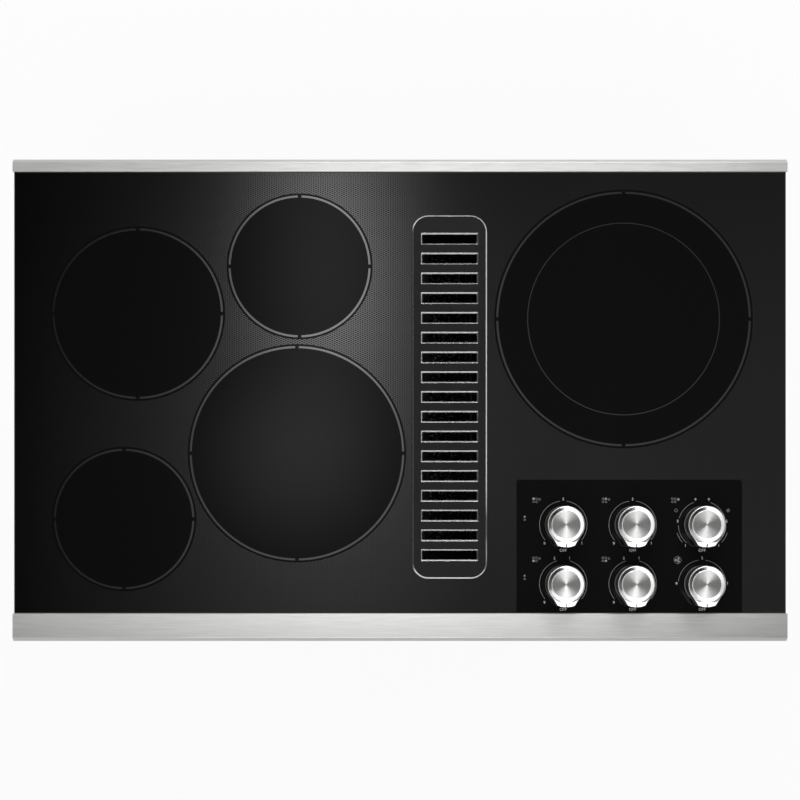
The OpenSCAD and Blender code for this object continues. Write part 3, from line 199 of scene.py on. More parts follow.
def boolean(piece, other, operation):
    """Join or cut with another solid, then remove that solid."""
    tool = piece.modifiers.new("boolean", "BOOLEAN")
    tool.operation = operation
    tool.object = other
    tool.solver = "EXACT"
    apply_all(piece)
    bpy.data.objects.remove(other)
    return piece


# %% [markdown]
# ## Helpers for finishes
# Each finish is a Principled shader fed by textures that read Object coordinates in metres, so
# grain keeps its real size on every piece. Numbers that are the same all over stay on the shader's
# own sockets. A small calculator adds Math nodes, so that a mask can be written as a sum.


# %% Materials
def finish(name, colour, roughness, metallic=0.0, **fixed):
    """A plain Principled material. fixed holds values for the shader's other sockets."""
    material = bpy.data.materials.new(name)
    material.use_nodes = True
    shader = material.node_tree.nodes["Principled BSDF"]
    shader.inputs["Base Color"].default_value = (*colour, 1)
    shader.inputs["Roughness"].default_value = roughness
    shader.inputs["Metallic"].default_value = metallic
    for socket, value in fixed.items():
        shader.inputs[socket.replace("_", " ")].default_value = value
    return material


def add(tree, kind, inputs=(), **settings):
    """Add a node. inputs maps a socket's name or number to a value or to another node's output."""
    node = tree.nodes.new("ShaderNode" + kind)
    for key, value in settings.items():
        setattr(node, key, value)
    for key, value in dict(inputs).items():
        if isinstance(value, bpy.types.NodeSocket):
            tree.links.new(value, node.inputs[key])
        else:
            node.inputs[key].default_value = value
    return node


def calc(tree, operation, *values):
    """One Math node, such as ADD or MAXIMUM, of numbers or other nodes' outputs."""
    return add(tree, "Math", enumerate(values), operation=operation).outputs[0]


def ramp(tree, value, low, high, to_low=0.0, to_high=1.0, kind="LINEAR"):
    """Turn the range low to high into to_low to to_high, and hold the ends."""
    keys = {"Value": value, "From Min": low, "From Max": high, "To Min": to_low, "To Max": to_high}
    return add(tree, "MapRange", keys, interpolation_type=kind).outputs[0]


def blend(tree, factor, first, second):
    """A colour between first, where factor is 0, and second, where it is 1."""
    return add(
        tree, "Mix", {0: factor, 6: (*first, 1), 7: (*second, 1)}, data_type="RGBA"
    ).outputs[2]


def place(tree, scale=(1, 1, 1)):
    """The point's place on the object, in metres, times scale."""
    here = add(tree, "TexCoord").outputs["Object"]
    return add(tree, "Mapping", {"Vector": here, "Scale": scale}).outputs[0]


def noise(tree, scale, stretch=(1, 1, 1), detail=3.0):
    """Noise over the object. A stretch below 1 draws it out along that axis."""
    keys = {"Vector": place(tree, stretch), "Scale": scale, "Detail": detail}
    return add(tree, "TexNoise", keys).outputs[0]


def wire(material, colour=None, roughness=None, metallic=None, height=None, depth=0.0001):
    """Link a finish's textures to its shader. A height of 1 stands depth metres proud."""
    tree = material.node_tree
    shader = tree.nodes["Principled BSDF"]
    links = {"Base Color": colour, "Roughness": roughness, "Metallic": metallic}
    for socket, value in links.items():
        if value is not None:
            tree.links.new(value, shader.inputs[socket])
    if height is not None:
        bump = add(tree, "Bump", {"Height": height, "Distance": depth})
        tree.links.new(bump.outputs[0], shader.inputs["Normal"])
    return material


def worn(name, dark, light, rough, scale, metallic=0.0, depth=0.0001, **fixed):
    """A finish whose colour drifts over a noise, with a fine grain in colour, gloss and relief."""
    material = finish(name, light, rough[1], metallic, **fixed)
    tree = material.node_tree
    drift = ramp(tree, noise(tree, scale), 0.3, 0.7)
    grain = noise(tree, scale * 9, detail=4.0)
    mixed = calc(tree, "MULTIPLY_ADD", grain, 0.5, calc(tree, "MULTIPLY", drift, 0.5))
    return wire(
        material, blend(tree, mixed, dark, light), ramp(tree, grain, 0.3, 0.7, *rough), None,
        grain, depth,
    )


def give(piece, *materials):
    """Give a piece these materials and no others."""
    piece.data.materials.clear()
    for material in materials:
        piece.data.materials.append(material)


# %% [markdown]
# ## The zones and the controls
# The printed rings stand over the heating elements, and each dial round its shaft. Both are found
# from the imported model: a dish reaches 4 mm past its ring, and a shaft is round its knob's axis.
# The print as a whole lies 0.6 mm right and forward of the dishes, as screen print may.

# %% Where the zones and knobs are
dish_rim = 4 * MM
zones = {}
for zone in ("left_rear", "centre_rear", "centre_front", "left_front", "right"):
    low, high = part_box("element_dish_" + zone)
    middle = ((low.x + high.x) / 2 + 0.6 * MM, (low.y + high.y) / 2 - 0.6 * MM)
    zones[zone] = (*middle, (high.x - low.x) / 2 - dish_rim)
inner_ring = 114.1 * MM
controls = {}
for control in ("left_rear", "centre_rear", "right", "left_front", "centre_front", "fan"):
    low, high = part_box("knob_shaft_" + control)
    controls[control] = ((low.x + high.x) / 2, (low.y + high.y) / 2)
print({k: [round(v / MM, 1) for v in zone] for k, zone in zones.items()})

# %% [markdown]
# ## Ceramic glass
# The real glass is black through and through, polished, and printed from above with a fine net of
# silvery enamel: a light field with staggered dark holes, wider than they are high. The net stops
# short of the zones' rings and of the control field. Thousands of holes are a texture's job, so two
# lattices, one shifted by half a cell, give the staggered holes, and the nearest one counts. The
# enamel is a thin metallic layer. The shader turns metallic first and gets the enamel's grey after
# that, so that no half-metal edge of a hole scatters light as chalk would. The bare black glass's
# colour is painted a little lighter towards the middle of the big front zone: a painted reflection.

# %% The net's holes
ceramic_glass = finish("printed_black_glass", (0.0038, 0.0038, 0.0039), 0.05, IOR=1.325)
tree = ceramic_glass.node_tree
here = add(tree, "TexCoord").outputs["Object"]
cell = (5.55 * MM, 2.5 * MM, 1.0)
hole_size = (1.22 * MM, 0.68 * MM)
size = (cell[0] / hole_size[0], cell[1] / hole_size[1], 0)
holes = []
for offset in ((0.0, 0.25, 0.0), (0.5, 0.75, 0.0)):
    part = add(tree, "VectorMath", {0: here, 1: cell}, operation="DIVIDE").outputs[0]
    part = add(tree, "VectorMath", {0: part, 1: offset}, operation="ADD").outputs[0]
    part = add(tree, "VectorMath", {0: part}, operation="FRACTION").outputs[0]
    part = add(tree, "VectorMath", {0: part, 1: (0.5,) * 3}, operation="SUBTRACT").outputs[0]
    part = add(tree, "VectorMath", {0: part, 1: size}, operation="MULTIPLY").outputs[0]
    holes.append(add(tree, "VectorMath", {0: part}, operation="LENGTH").outputs["Value"])
net = ramp(tree, calc(tree, "MINIMUM", *holes), 0.88, 1.12)
print("holes", [round(v / MM, 2) for v in cell[:2]], "mm apart in each lattice")


# %% Where the net stops
def from_middle(zone):
    """How far a point of the glass is from a zone's middle."""
    x, y, _ = zones[zone]
    keys = {0: here, 1: (x, y, glass_top)}
    return add(tree, "VectorMath", keys, operation="DISTANCE").outputs["Value"]


bare_rim = 3.5 * MM
for zone in zones:
    reach = zones[zone][2] + bare_rim
    net = calc(tree, "MULTIPLY", net, ramp(tree, from_middle(zone), reach, reach + 0.3 * MM))
axes = add(tree, "SeparateXYZ", {0: here}).outputs
field = {"left": 138.8 * MM, "right": 406.7 * MM, "top": -95.1 * MM, "corner": 3.6 * MM}
middle = (field["left"] + field["right"]) / 2
beside = calc(tree, "ABSOLUTE", calc(tree, "SUBTRACT", axes[0], middle))
beside = calc(tree, "SUBTRACT", beside, (field["right"] - field["left"]) / 2 - field["corner"])
above = calc(tree, "SUBTRACT", axes[1], field["top"] - field["corner"])
keys = {0: calc(tree, "MAXIMUM", beside, 0.0), 1: calc(tree, "MAXIMUM", above, 0.0)}
corner = add(tree, "CombineXYZ", keys).outputs[0]
outside = add(tree, "VectorMath", {0: corner}, operation="LENGTH").outputs["Value"]
net = calc(
    tree, "MULTIPLY", net, ramp(tree, outside, field["corner"], field["corner"] + 0.4 * MM)
)
print("control field", round((field["right"] - field["left"]) / MM, 1), "mm wide")

# %% Painted reflection, enamel and gloss
painted_reflection_reach = zones["centre_front"][2] * 1.25
# Painted reflection: the black glass is lighter near the big front zone's middle and fades outwards.
light_haze = ramp(tree, from_middle("centre_front"), 0, painted_reflection_reach, 0.0215, 0.004, kind="SMOOTHSTEP")
black = add(tree, "CombineColor", {0: light_haze, 1: light_haze, 2: light_haze}).outputs[0]
keys = {0: ramp(tree, net, 0.2, 1.0), 6: black, 7: (0.25, 0.25, 0.25, 1)}
enamel = add(tree, "Mix", keys, data_type="RGBA").outputs[2]
smear_depth = 0.03
smear = calc(tree, "MULTIPLY", noise(tree, 9, detail=2.0), smear_depth)
wire(
    ceramic_glass, enamel,
    calc(tree, "ADD", ramp(tree, net, 0, 1, 0.02, 0.05), smear),
    ramp(tree, net, 0.0, 0.2),
)
print(len(tree.nodes), "shader nodes draw the glass")

# %% [markdown]
# ## Metals
# Brushed steel reflects a lamp as a streak across its grain. The grain runs along X on both trims,
# so the streak is stretched along Y: the tangent points along Y, and anisotropy is high. A fine
# noise, stretched along X, draws the grain itself. Both trims are painted a little darker towards
# the outside, as painted shade. Zinc shows its crystals as flakes of a cell pattern. The filter's
# strands are painted nearly black, as painted shade, with bright spots as painted glints.


# %% Brushed steel
def tangent(material, vector):
    """Link the direction that an anisotropic finish turns about."""
    shader = material.node_tree.nodes["Principled BSDF"]
    material.node_tree.links.new(vector, shader.inputs["Tangent"])


brushed = finish("brushed_steel", (0.74, 0.735, 0.72), 0.3, 1.0, Anisotropic=0.85)
tree = brushed.node_tree
grain = noise(tree, 1600, (0.02, 1, 1), 5.0)
deep = add(tree, "SeparateXYZ", {0: place(tree)}).outputs[1]
front_in, front_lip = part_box("front_trim")[1].y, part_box("front_trim")[0].y
rear_in, rear_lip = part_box("rear_trim")[0].y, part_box("rear_trim")[1].y
# Painted shade: each trim's colour darkens towards its outer lip, strongly on the front trim and
# slightly on the rear.
painted_lip_shade = calc(tree, "MAXIMUM", ramp(tree, deep, front_in, front_lip + 5 * MM, 0.0, 0.5),
            ramp(tree, deep, rear_in, rear_lip - 3 * MM, 0.0, 0.2))
grain_less_lip_shade = calc(tree, "SUBTRACT", grain, painted_lip_shade)
wire(
    brushed, blend(tree, grain_less_lip_shade, (0.5, 0.497, 0.49), (0.75, 0.746, 0.738)),
    ramp(tree, grain, 0.3, 0.7, 0.3, 0.4), None, grain, 0.000006,
)
tangent(brushed, add(tree, "CombineXYZ", {0: 0.0, 1: 1.0, 2: 0.0}).outputs[0])
print("trims from", round(front_lip / MM), "to", round(rear_lip / MM), "mm deep")

# %% Zinc, steel and aluminium
satin_metal = worn(
    "plated_metal", (0.86, 0.86, 0.85), (0.93, 0.93, 0.92), (0.34, 0.42), 60, 1.0, depth=0.00001
)
galvanised = finish("galvanised_sheet", (0.55, 0.56, 0.57), 0.45, 1.0)
tree = galvanised.node_tree
flakes = add(tree, "TexVoronoi", {"Vector": place(tree), "Scale": 90.0}).outputs["Color"]
flake = add(tree, "SeparateColor", {0: flakes}).outputs[0]
fog = noise(tree, 14)
wire(
    galvanised,
    blend(tree, calc(tree, "MULTIPLY_ADD", flake, 0.6, calc(tree, "MULTIPLY", fog, 0.4)),
          (0.44, 0.45, 0.46), (0.66, 0.67, 0.69)),
    ramp(tree, flake, 0, 1, 0.34, 0.52), None, noise(tree, 300), 0.00003,
)
bright_steel = worn("machined_steel", (0.5, 0.5, 0.49), (0.72, 0.72, 0.7), (0.22, 0.38), 120, 1.0)
aluminium = worn("dull_aluminium", (0.62, 0.63, 0.64), (0.8, 0.81, 0.82), (0.28, 0.42), 80, 1.0)
rotor_steel = worn("laminated_steel", (0.34, 0.31, 0.28), (0.52, 0.49, 0.45), (0.35, 0.55), 90, 1.0)
heater = worn("ribbon_alloy", (0.2, 0.13, 0.1), (0.42, 0.33, 0.28), (0.5, 0.7), 200, 1.0)
frame_metal = worn(
    "channel_aluminium", (0.16, 0.16, 0.165), (0.26, 0.26, 0.27), (0.35, 0.5), 80, 1.0
)
strand_metal = finish("strand_aluminium", (0.6, 0.6, 0.6), 0.2, 1.0)
tree = strand_metal.node_tree
# Painted shade and painted glints: most of each strand is coloured nearly black for the shade deep
# in the vent, with scattered bright spots as painted glints.
painted_glints = ramp(tree, noise(tree, 300, (0.4, 1.3, 0.4), 2.0), 0.58, 0.63)
wire(
    strand_metal, blend(tree, painted_glints, (0.03, 0.03, 0.03), (0.95, 0.95, 0.96)),
    ramp(tree, painted_glints, 0, 1, 0.45, 0.3), None, noise(tree, 400, detail=2.0), 0.0008,
)
metals = (brushed, satin_metal, galvanised, bright_steel, aluminium, rotor_steel, heater)
print("metals:", [metal.name for metal in (*metals, frame_metal, strand_metal)])

# %% [markdown]
# ## Plastics, rubber, paint and ceramic
# These are not metals, so the colour comes from the body of the stuff and the gloss from its skin.
# Moulded plastic has a faint orange-peel, silicone is dull and dark, powder paint is grainy, and
# the insulation board is soft, chalky fibre. The record names one slot of finish for each piece.

# %% Everything that is not metal
silicone = worn("silicone_rubber", (0.012, 0.012, 0.012), (0.03, 0.03, 0.03), (0.5, 0.66), 150)
insulation = worn(
    "chalky_fibre", (0.6, 0.56, 0.48), (0.82, 0.79, 0.72), (0.9, 1.0), 240, depth=0.0006
)
ceramic = worn("glazed_ceramic", (0.72, 0.7, 0.65), (0.86, 0.85, 0.81), (0.25, 0.4), 70)
switch_plastic = worn("dark_phenolic", (0.045, 0.045, 0.05), (0.09, 0.09, 0.1), (0.38, 0.5), 110)
cam_plastic = worn("pale_nylon", (0.7, 0.68, 0.61), (0.82, 0.8, 0.74), (0.35, 0.45), 110)
lamp_red = worn("red_lens", (0.38, 0.02, 0.015), (0.55, 0.04, 0.03), (0.12, 0.2), 90)
grille_paint = worn(
    "grille_paint", (0.009, 0.009, 0.009), (0.016, 0.016, 0.016), (0.3, 0.38), 160, depth=0.00002,
    Specular_IOR_Level=0.25,
)
blower_paint = worn("powder_paint", (0.012, 0.012, 0.013), (0.04, 0.04, 0.042), (0.4, 0.6), 60)
duct_paint = worn("duct_paint", (0.01, 0.01, 0.01), (0.022, 0.022, 0.022), (0.45, 0.65), 90)
tray_plastic = worn("moulded_tray", (0.03, 0.032, 0.035), (0.06, 0.062, 0.066), (0.35, 0.5), 90)
others = (silicone, insulation, ceramic, switch_plastic, cam_plastic, tray_plastic, lamp_red)
paints = (grille_paint, blower_paint, duct_paint)
print("not metal:", [material.name for material in (*others, *paints)])

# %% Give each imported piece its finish
finishes = {
    "ceramic_glass": ceramic_glass, "brushed_stainless": brushed, "black_silicone": silicone,
    "zinc_sheet": galvanised, "insulation_board": insulation, "heater_alloy": heater,
    "ceramic_white": ceramic, "switch_plastic": switch_plastic, "cam_plastic": cam_plastic,
    "lamp_red": lamp_red, "turned_metal": satin_metal, "bright_steel": bright_steel,
    "grille_black": grille_paint, "filter_aluminium": aluminium, "blower_black": blower_paint,
    "rotor_steel": rotor_steel, "tray_plastic": tray_plastic, "conduit_zinc": galvanised,
    "duct_black": duct_paint,
}
for entry in frame["record"]["subparts"]:
    give(nodes[entry["node"]], finishes[entry["material_slot"]])
give(nodes["filter_frame"], frame_metal)

# %% [markdown]
# ## Trims
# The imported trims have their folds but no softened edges, and it is the soft edge that catches the
# light along the glass. A copy of each is welded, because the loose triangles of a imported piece
# would open under a bevel, and its edges get a small round. Weighted normals keep the flats flat.


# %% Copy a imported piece, and round the trims
def from_packed(node, name):
    """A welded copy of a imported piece's mesh, with flat areas as single faces."""
    piece = bpy.data.objects.new(name, nodes[node].data.copy())
    bpy.context.scene.collection.objects.link(piece)
    edit(piece)
    bpy.ops.mesh.select_all(action="SELECT")
    bpy.ops.mesh.remove_doubles(threshold=0.01 * MM)
    bpy.ops.mesh.select_all(action="SELECT")
    bpy.ops.mesh.dissolve_limited(angle_limit=math.radians(1))
    rest()
    return named(piece, name)


for node in ("front_trim", "rear_trim"):
    trim = from_packed(node, node + "_rounded")
    bevel(trim, 1.1 * MM, 4, 20)
    flatten(smooth(trim, 35))
    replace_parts(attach(trim, "cooktop"), node)
    print(node, len(trim.data.polygons), "faces")

# %% [markdown]
# ## Vent grille
# The grille is one satin black plate whose edges are cut bright after it was finished, all round
# and at each slot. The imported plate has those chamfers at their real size. A copy of it is welded,
# its sharp edges get a small round that a bare solid lacks, and the faces that slope become bright
# metal.

# %% The grille's plate and bright edges
grille = from_packed("vent_grille", "grille_plate")
bevel(grille, 0.25 * MM, 2, 25)
cut_edge = worn("cut_edge", (0.8, 0.8, 0.79), (0.94, 0.94, 0.93), (0.18, 0.28), 260, 1.0)
give(grille, grille_paint, cut_edge)
for face in grille.data.polygons:
    face.material_index = int(0.3 < face.normal.z < 0.9)
flatten(smooth(grille, 30))
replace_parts(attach(grille, "vent_grille"), "vent_grille")
print(len(grille.data.polygons), "faces on the grille")

# %% [markdown]
# ## Filter
# Downdraft filters are layers of expanded aluminium mesh in a channel frame. A solid slab would
# look like a block through the slots. Each cell of a grid is poked into four triangles, which are
# joined across the cells into diamonds, and a Wireframe modifier turns the diamonds' edges into
# strands. Three layers, each shifted a little, fill the frame and are turned to its slope.

# %% Filter mesh
low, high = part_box("filter_frame")
tilt = math.radians(26)
filter_middle = (low + high) / 2
across, along, thick = 139 * MM, (high.y - low.y) - 5 * MM, 8.4 * MM
layers = []
for layer in (-1, 0, 1):
    rest()
    bpy.ops.mesh.primitive_grid_add(x_subdivisions=18, y_subdivisions=66, size=1)
    sheet = bpy.context.object
    sheet.scale = (across, along, 1)
    apply_all(sheet)
    edit(sheet)
    bpy.ops.mesh.select_all(action="SELECT")
    bpy.ops.mesh.poke()
    pick_faces(sheet, lambda at, n: True)
    bpy.ops.mesh.tris_convert_to_quads(face_threshold=math.radians(60), shape_threshold=math.pi)
    rest()
    strands = sheet.modifiers.new("strands", "WIREFRAME")
    strands.thickness = 0.9 * MM
    strands.use_even_offset = False
    sheet.location = (layer * 1.3 * MM, layer * 2.1 * MM, layer * thick / 3)
    layers.append(apply_all(sheet))
mesh_pad = joined(layers, "filter_strands")
mesh_pad.rotation_euler = (0, math.pi / 2 - tilt, 0)
mesh_pad.location = filter_middle
apply_all(mesh_pad)
give(mesh_pad, strand_metal)
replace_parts(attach(mesh_pad, "vent_filter"), "filter_mesh")
print(len(mesh_pad.data.polygons), "faces on the filter's strands")

# %% [markdown]
# ## Printed rings
# Each zone is marked with a silvery ring 2.4 mm wide, broken by four short gaps. A ring could be
# part of the glass's texture, but as a thin print of its own it stays sharp at any distance. A
# circle is added at the ring's inner radius, its edge is extruded and scaled to the outer radius,
# the faces in the gaps are deleted, and a Solidify modifier gives the print its thickness.

# %% Rings on the glass
silver_print = worn(
    "silver_print", (0.34, 0.34, 0.34), (0.4, 0.4, 0.4), (0.07, 0.11), 60, 1.0, depth=0.000005
)
print_lift = 0.06 * MM


def printed_ring(name, x, y, inner, outer, steps, keep=lambda angle: True):
    """A flat ring of steps faces, of which those whose clock angle passes keep stay."""
    rest()
    bpy.ops.mesh.primitive_circle_add(vertices=steps, radius=inner, location=(x, y, glass_top))
    ring = named(bpy.context.object, name)
    edit(ring)
    bpy.ops.mesh.select_all(action="SELECT")
    bpy.ops.mesh.extrude_region_move()
    grow = outer / inner
    bpy.ops.transform.resize(value=(grow, grow, 1), center_override=(x, y, glass_top))
    pick_faces(ring, lambda at, n: not keep(math.degrees(math.atan2(at.x, at.y))))
    bpy.ops.mesh.delete(type="FACE")
    bpy.ops.mesh.select_all(action="SELECT")
    bpy.ops.mesh.normals_make_consistent(inside=False)
    rest()
    return ring


def thicken(piece, name, material=silver_print):
    """Turn a flat print's faces up, and give it its thickness and its finish."""
    edit(piece)
    pick_faces(piece, lambda at, n: n.z < 0)
    bpy.ops.mesh.flip_normals()
    rest()
    tool = piece.modifiers.new("print", "SOLIDIFY")
    tool.thickness = print_lift * 2
    tool.offset = 0
    apply_all(piece)
    named(piece, name)
    give(piece, material)
    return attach(piece, "cooktop")


ring_width = 2.4 * MM
ring_gap = 4.5 * MM
for zone, (x, y, radius) in zones.items():
    steps = 4 * round(math.pi * radius / ring_gap)
    half = 360 / steps

    def off_the_gaps(angle):
        return abs((angle + 45) % 90 - 45) > half * 1.01

    ring = printed_ring(
        "ring", x, y, radius - ring_width / 2, radius + ring_width / 2, steps, off_the_gaps
    )
    thicken(ring, "ring_" + zone)
x, y, radius = zones["right"]
ring = printed_ring("ring", x, y, inner_ring - 0.5 * MM, inner_ring + 0.5 * MM, 360)
thicken(ring, "ring_right_inner")
print(len(zones) + 1, "rings printed")

# %% [markdown]
# ## Knobs
# The real knobs are turned from bar and plated: a skirt, a fine groove, a grip with a rounded edge,
# a dished ring and a spun disc in the middle, with a wedge-shaped pointer towards the user. One
# outline, spun once round the axis, gives all of the turned part. The pointer starts as a disc
# that is cut by its two flanks, by a plane behind and by a top that falls towards the tip. It is
# bevelled by itself, then bored out to leave room for the grip's dish, and joins the grip last,
# because a bevel across the join would crumple.


# %% Spin an outline
def turned(name, outline):
    """Spin (radius, height) points, in millimetres, once round the z axis."""
    rest()
    bpy.ops.mesh.primitive_plane_add(size=MM, location=(0, 0, 0))
    piece = named(bpy.context.object, name)
    edit(piece)
    bpy.ops.mesh.merge(type="CENTER")
    start = outline[0]
    bpy.ops.transform.translate(value=(start[0] * MM, 0, start[1] * MM))
    for before, after in zip(outline, outline[1:]):
        step = ((after[0] - before[0]) * MM, 0, (after[1] - before[1]) * MM)
        bpy.ops.mesh.extrude_region_move(TRANSFORM_OT_translate={"value": step})
    bpy.ops.mesh.select_all(action="SELECT")
    bpy.ops.mesh.spin(steps=96, angle=math.tau, center=(0, 0, 0), axis=(0, 0, 1))
    bpy.ops.mesh.select_all(action="SELECT")
    bpy.ops.mesh.remove_doubles(threshold=0.00001)
    bpy.ops.mesh.normals_make_consistent(inside=False)
    rest()
    return apply_all(piece)


def arc(cx, cz, radius, start, end, steps):
    """Points on a quarter or part of a circle, for the round edges of an outline."""
    for k in range(steps + 1):
        a = math.radians(start + (end - start) * k / steps)
        yield cx + radius * math.cos(a), cz + radius * math.sin(a)


# %% The turned part of a knob
base_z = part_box("knob_fan")[0].z / MM
top_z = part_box("knob_fan")[1].z / MM
skirt_top = base_z + 3.2
disc_z = top_z - 0.9
disc_r = 16.2
outline = [(0, base_z + 7), (17, base_z + 7), (17, base_z), (21.4, base_z)]
outline += list(arc(21.6, base_z + 0.7, 0.7, -90, 0, 3))
outline += list(arc(21.6, skirt_top - 0.7, 0.7, 0, 90, 3))
outline += [(21.1, skirt_top), (21.0, skirt_top + 0.2), (21.0, skirt_top + 0.8)]
outline += [(21.8, skirt_top + 1.0), (22.1, skirt_top + 1.3)]
outline += list(arc(20.8, top_z - 1.3, 1.3, 0, 90, 5))
outline += [(20.55, top_z - 0.08), (16.8, top_z - 1.65), (16.6, top_z - 1.75)]
outline += [(16.5, top_z - 1.65), (16.4, disc_z - 0.15), (disc_r, disc_z)]
outline += [(12, disc_z + 0.05), (6, disc_z + 0.12), (1, disc_z + 0.15), (0, disc_z + 0.15)]
knob = turned("knob", outline)
print("knob outline of", len(outline), "points")

# %% The pointer
pointer_low = skirt_top + 1.1
pointer_top = top_z - 0.07
bore_r = 20.25
fall = math.radians(9)
fall_starts = -20.6
bpy.ops.mesh.primitive_cylinder_add(
    vertices=144, radius=26.7 * MM, depth=(pointer_top - pointer_low) * MM,
    location=(0, 0, (pointer_top + pointer_low) / 2 * MM),
)
pointer = named(bpy.context.object, "pointer")
edit(pointer)
planes = [((side * 10.2, -24.6, 0), (side * 0.85, -0.527, 0)) for side in (-1, 1)]
planes.append(((0, -8, 0), (0, 1, 0)))
planes.append(((0, fall_starts, pointer_top), (0, -math.sin(fall), math.cos(fall))))
for point, normal in planes:
    bpy.ops.mesh.select_all(action="SELECT")
    bpy.ops.mesh.bisect(
        plane_co=[v * MM for v in point], plane_no=normal, use_fill=True, clear_outer=True
    )
rest()
bore = turned("bore", [(0, 0), (bore_r, 0), (bore_r, 60), (0, 60)])
bevel(pointer, 0.7 * MM, 3, 40)
boolean(pointer, bore, "DIFFERENCE")
boolean(knob, pointer, "UNION")
flatten(smooth(knob, 35))
assert len(knob.data.polygons) > 2000, "the pointer did not join the knob"
print(len(knob.data.polygons), "faces on a knob")

# %% [markdown]
# The spun disc is what catches the eye: it was faced on a lathe, and its fine circles throw a bow
# of light through the middle. The tangent is the direction away from the knob's own axis. All six
# knobs share one material, so the distance to the axis is wrapped over the spacing of the knobs.
# A turn of 12 degrees stands for the spiral that the tool leaves, and tilts the bow.

# %% Spun disc material
columns = sorted({round(x, 4) for x, y in controls.values()})
rows = sorted({round(y, 4) for x, y in controls.values()})
pitch = (columns[1] - columns[0], rows[1] - rows[0])
spun = finish("spun_disc", (0.7, 0.7, 0.69), 0.3, 1.0, Anisotropic=0.92)
tree = spun.node_tree
here = add(tree, "TexCoord").outputs["Object"]
keys = {0: here, 1: (columns[0], rows[0], 0)}
local = add(tree, "VectorMath", keys, operation="SUBTRACT").outputs[0]
half = (pitch[0] / 2, pitch[1] / 2, 1)
keys = {0: local, 1: half, 2: tuple(-v for v in half)}
local = add(tree, "VectorMath", keys, operation="WRAP").outputs[0]
flat = add(tree, "VectorMath", {0: local, 1: (1, 1, 0)}, operation="MULTIPLY").outputs[0]
away = add(tree, "VectorMath", {0: flat}, operation="LENGTH").outputs["Value"]
keys = {"Vector": add(tree, "CombineXYZ", {0: away, 1: 0.0, 2: 0.0}).outputs[0]}
circles = add(tree, "TexNoise", {**keys, "Scale": 4200.0, "Detail": 3.0}).outputs[0]
outwards = add(tree, "VectorMath", {0: flat}, operation="NORMALIZE").outputs[0]
# Painted reflection: a noise round the axis makes the disc lighter and darker in radial streaks, as
# reflected light would.
painted_streaks = add(tree, "TexNoise", {"Vector": outwards, "Scale": 11.0, "Detail": 4.0}).outputs[0]
painted_streaks = ramp(tree, painted_streaks, 0.35, 0.65, 0.0, 0.5)
tone = calc(tree, "MULTIPLY_ADD", circles, 0.5, painted_streaks)
wire(
    spun, blend(tree, tone, (0.82, 0.82, 0.81), (1.0, 1.0, 0.99)),
    ramp(tree, circles, 0.3, 0.7, 0.26, 0.34), None, circles, 0.000012,
)
keys = {"Vector": outwards, "Axis": (0, 0, 1), "Angle": math.radians(-12)}
tangent(spun, add(tree, "VectorRotate", keys).outputs[0])
print("knobs stand", [round(v / MM, 1) for v in pitch], "mm apart")

# %% The knob's plating, its spun disc, and its sides in painted shade
plated = worn(
    "turned_plating", (0.92, 0.92, 0.91), (0.98, 0.98, 0.97), (0.17, 0.23), 60, 1.0, depth=0.00001
)
# Painted shade: the lower sides take a darker copy of the same plating.
side = worn(
    "turned_side_painted_shade", (0.42, 0.42, 0.41), (0.55, 0.55, 0.54), (0.28, 0.36), 60, 1.0, depth=0.00001
)
give(knob, plated, spun, side)
for face in knob.data.polygons:
    middle = face.center
    if math.hypot(middle.x, middle.y) < disc_r * MM and middle.z > (disc_z - 0.1) * MM:
        face.material_index = 1
    elif middle.z < (top_z - 2) * MM:
        face.material_index = 2
print([sum(f.material_index == k for f in knob.data.polygons) for k in range(3)], "faces each")

# %% [markdown]
# The index line is a dark strip on the pointer's falling top, which turns down over its tip. It
# starts as a bar tilted like the top. Its underside is divided, and the part beyond the tip is
# extruded down. The knob and its line are then copied to all six shafts.

# %% The index line
line_y = -24.55
tip_y = -26.25
line_z = pointer_top - 0.1 - (fall_starts - line_y) * math.tan(fall)
bpy.ops.mesh.primitive_cube_add(size=1, location=(0, line_y * MM, line_z * MM))
index_line = named(bpy.context.object, "index_line")
index_line.scale = (1.3 * MM, 4.5 * MM, 0.3 * MM)
index_line.rotation_euler.x = fall
apply_all(index_line)
edit(index_line)
pick_faces(index_line, lambda at, n: n.z < -0.5)
bpy.ops.mesh.subdivide(number_cuts=8)
pick_faces(index_line, lambda at, n: n.z < -0.5 and at.y < tip_y * MM)
bpy.ops.mesh.extrude_region_move(TRANSFORM_OT_translate={"value": (0, 0, -8 * MM)})
rest()
bevel(index_line, 0.12 * MM, 2, 40)
index_ink = worn(
    "index_ink", (0.03, 0.012, 0.012), (0.06, 0.022, 0.022), (0.5, 0.6), 300,
    Specular_IOR_Level=0.1,
)
give(index_line, index_ink)
print(len(index_line.data.polygons), "faces on the index line")

# %% Six knobs
for control, (x, y) in controls.items():
    body = "knob_" + control
    one = copied(knob, body + "_turned", (x, y, 0))
    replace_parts(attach(one, body), body)
    line = copied(index_line, body + "_index", (x, y, 0))
    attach(line, body)
for pattern in (knob, index_line):
    bpy.data.objects.remove(pattern)
print("knobs at", {k: (round(x / MM, 1), round(y / MM, 1)) for k, (x, y) in controls.items()})

# %% [markdown]
# ## Dials
# Thin grey arcs and paler marks show the way each knob turns. The marks are plain numbers, low to
# high, and the small diagram beside each dial shows which zone it serves. Text is made a mesh
# before it gets its thickness. Angles are read as on a clock, from 12, in degrees.


# %% Text, discs and places on a dial
capital = 0.69


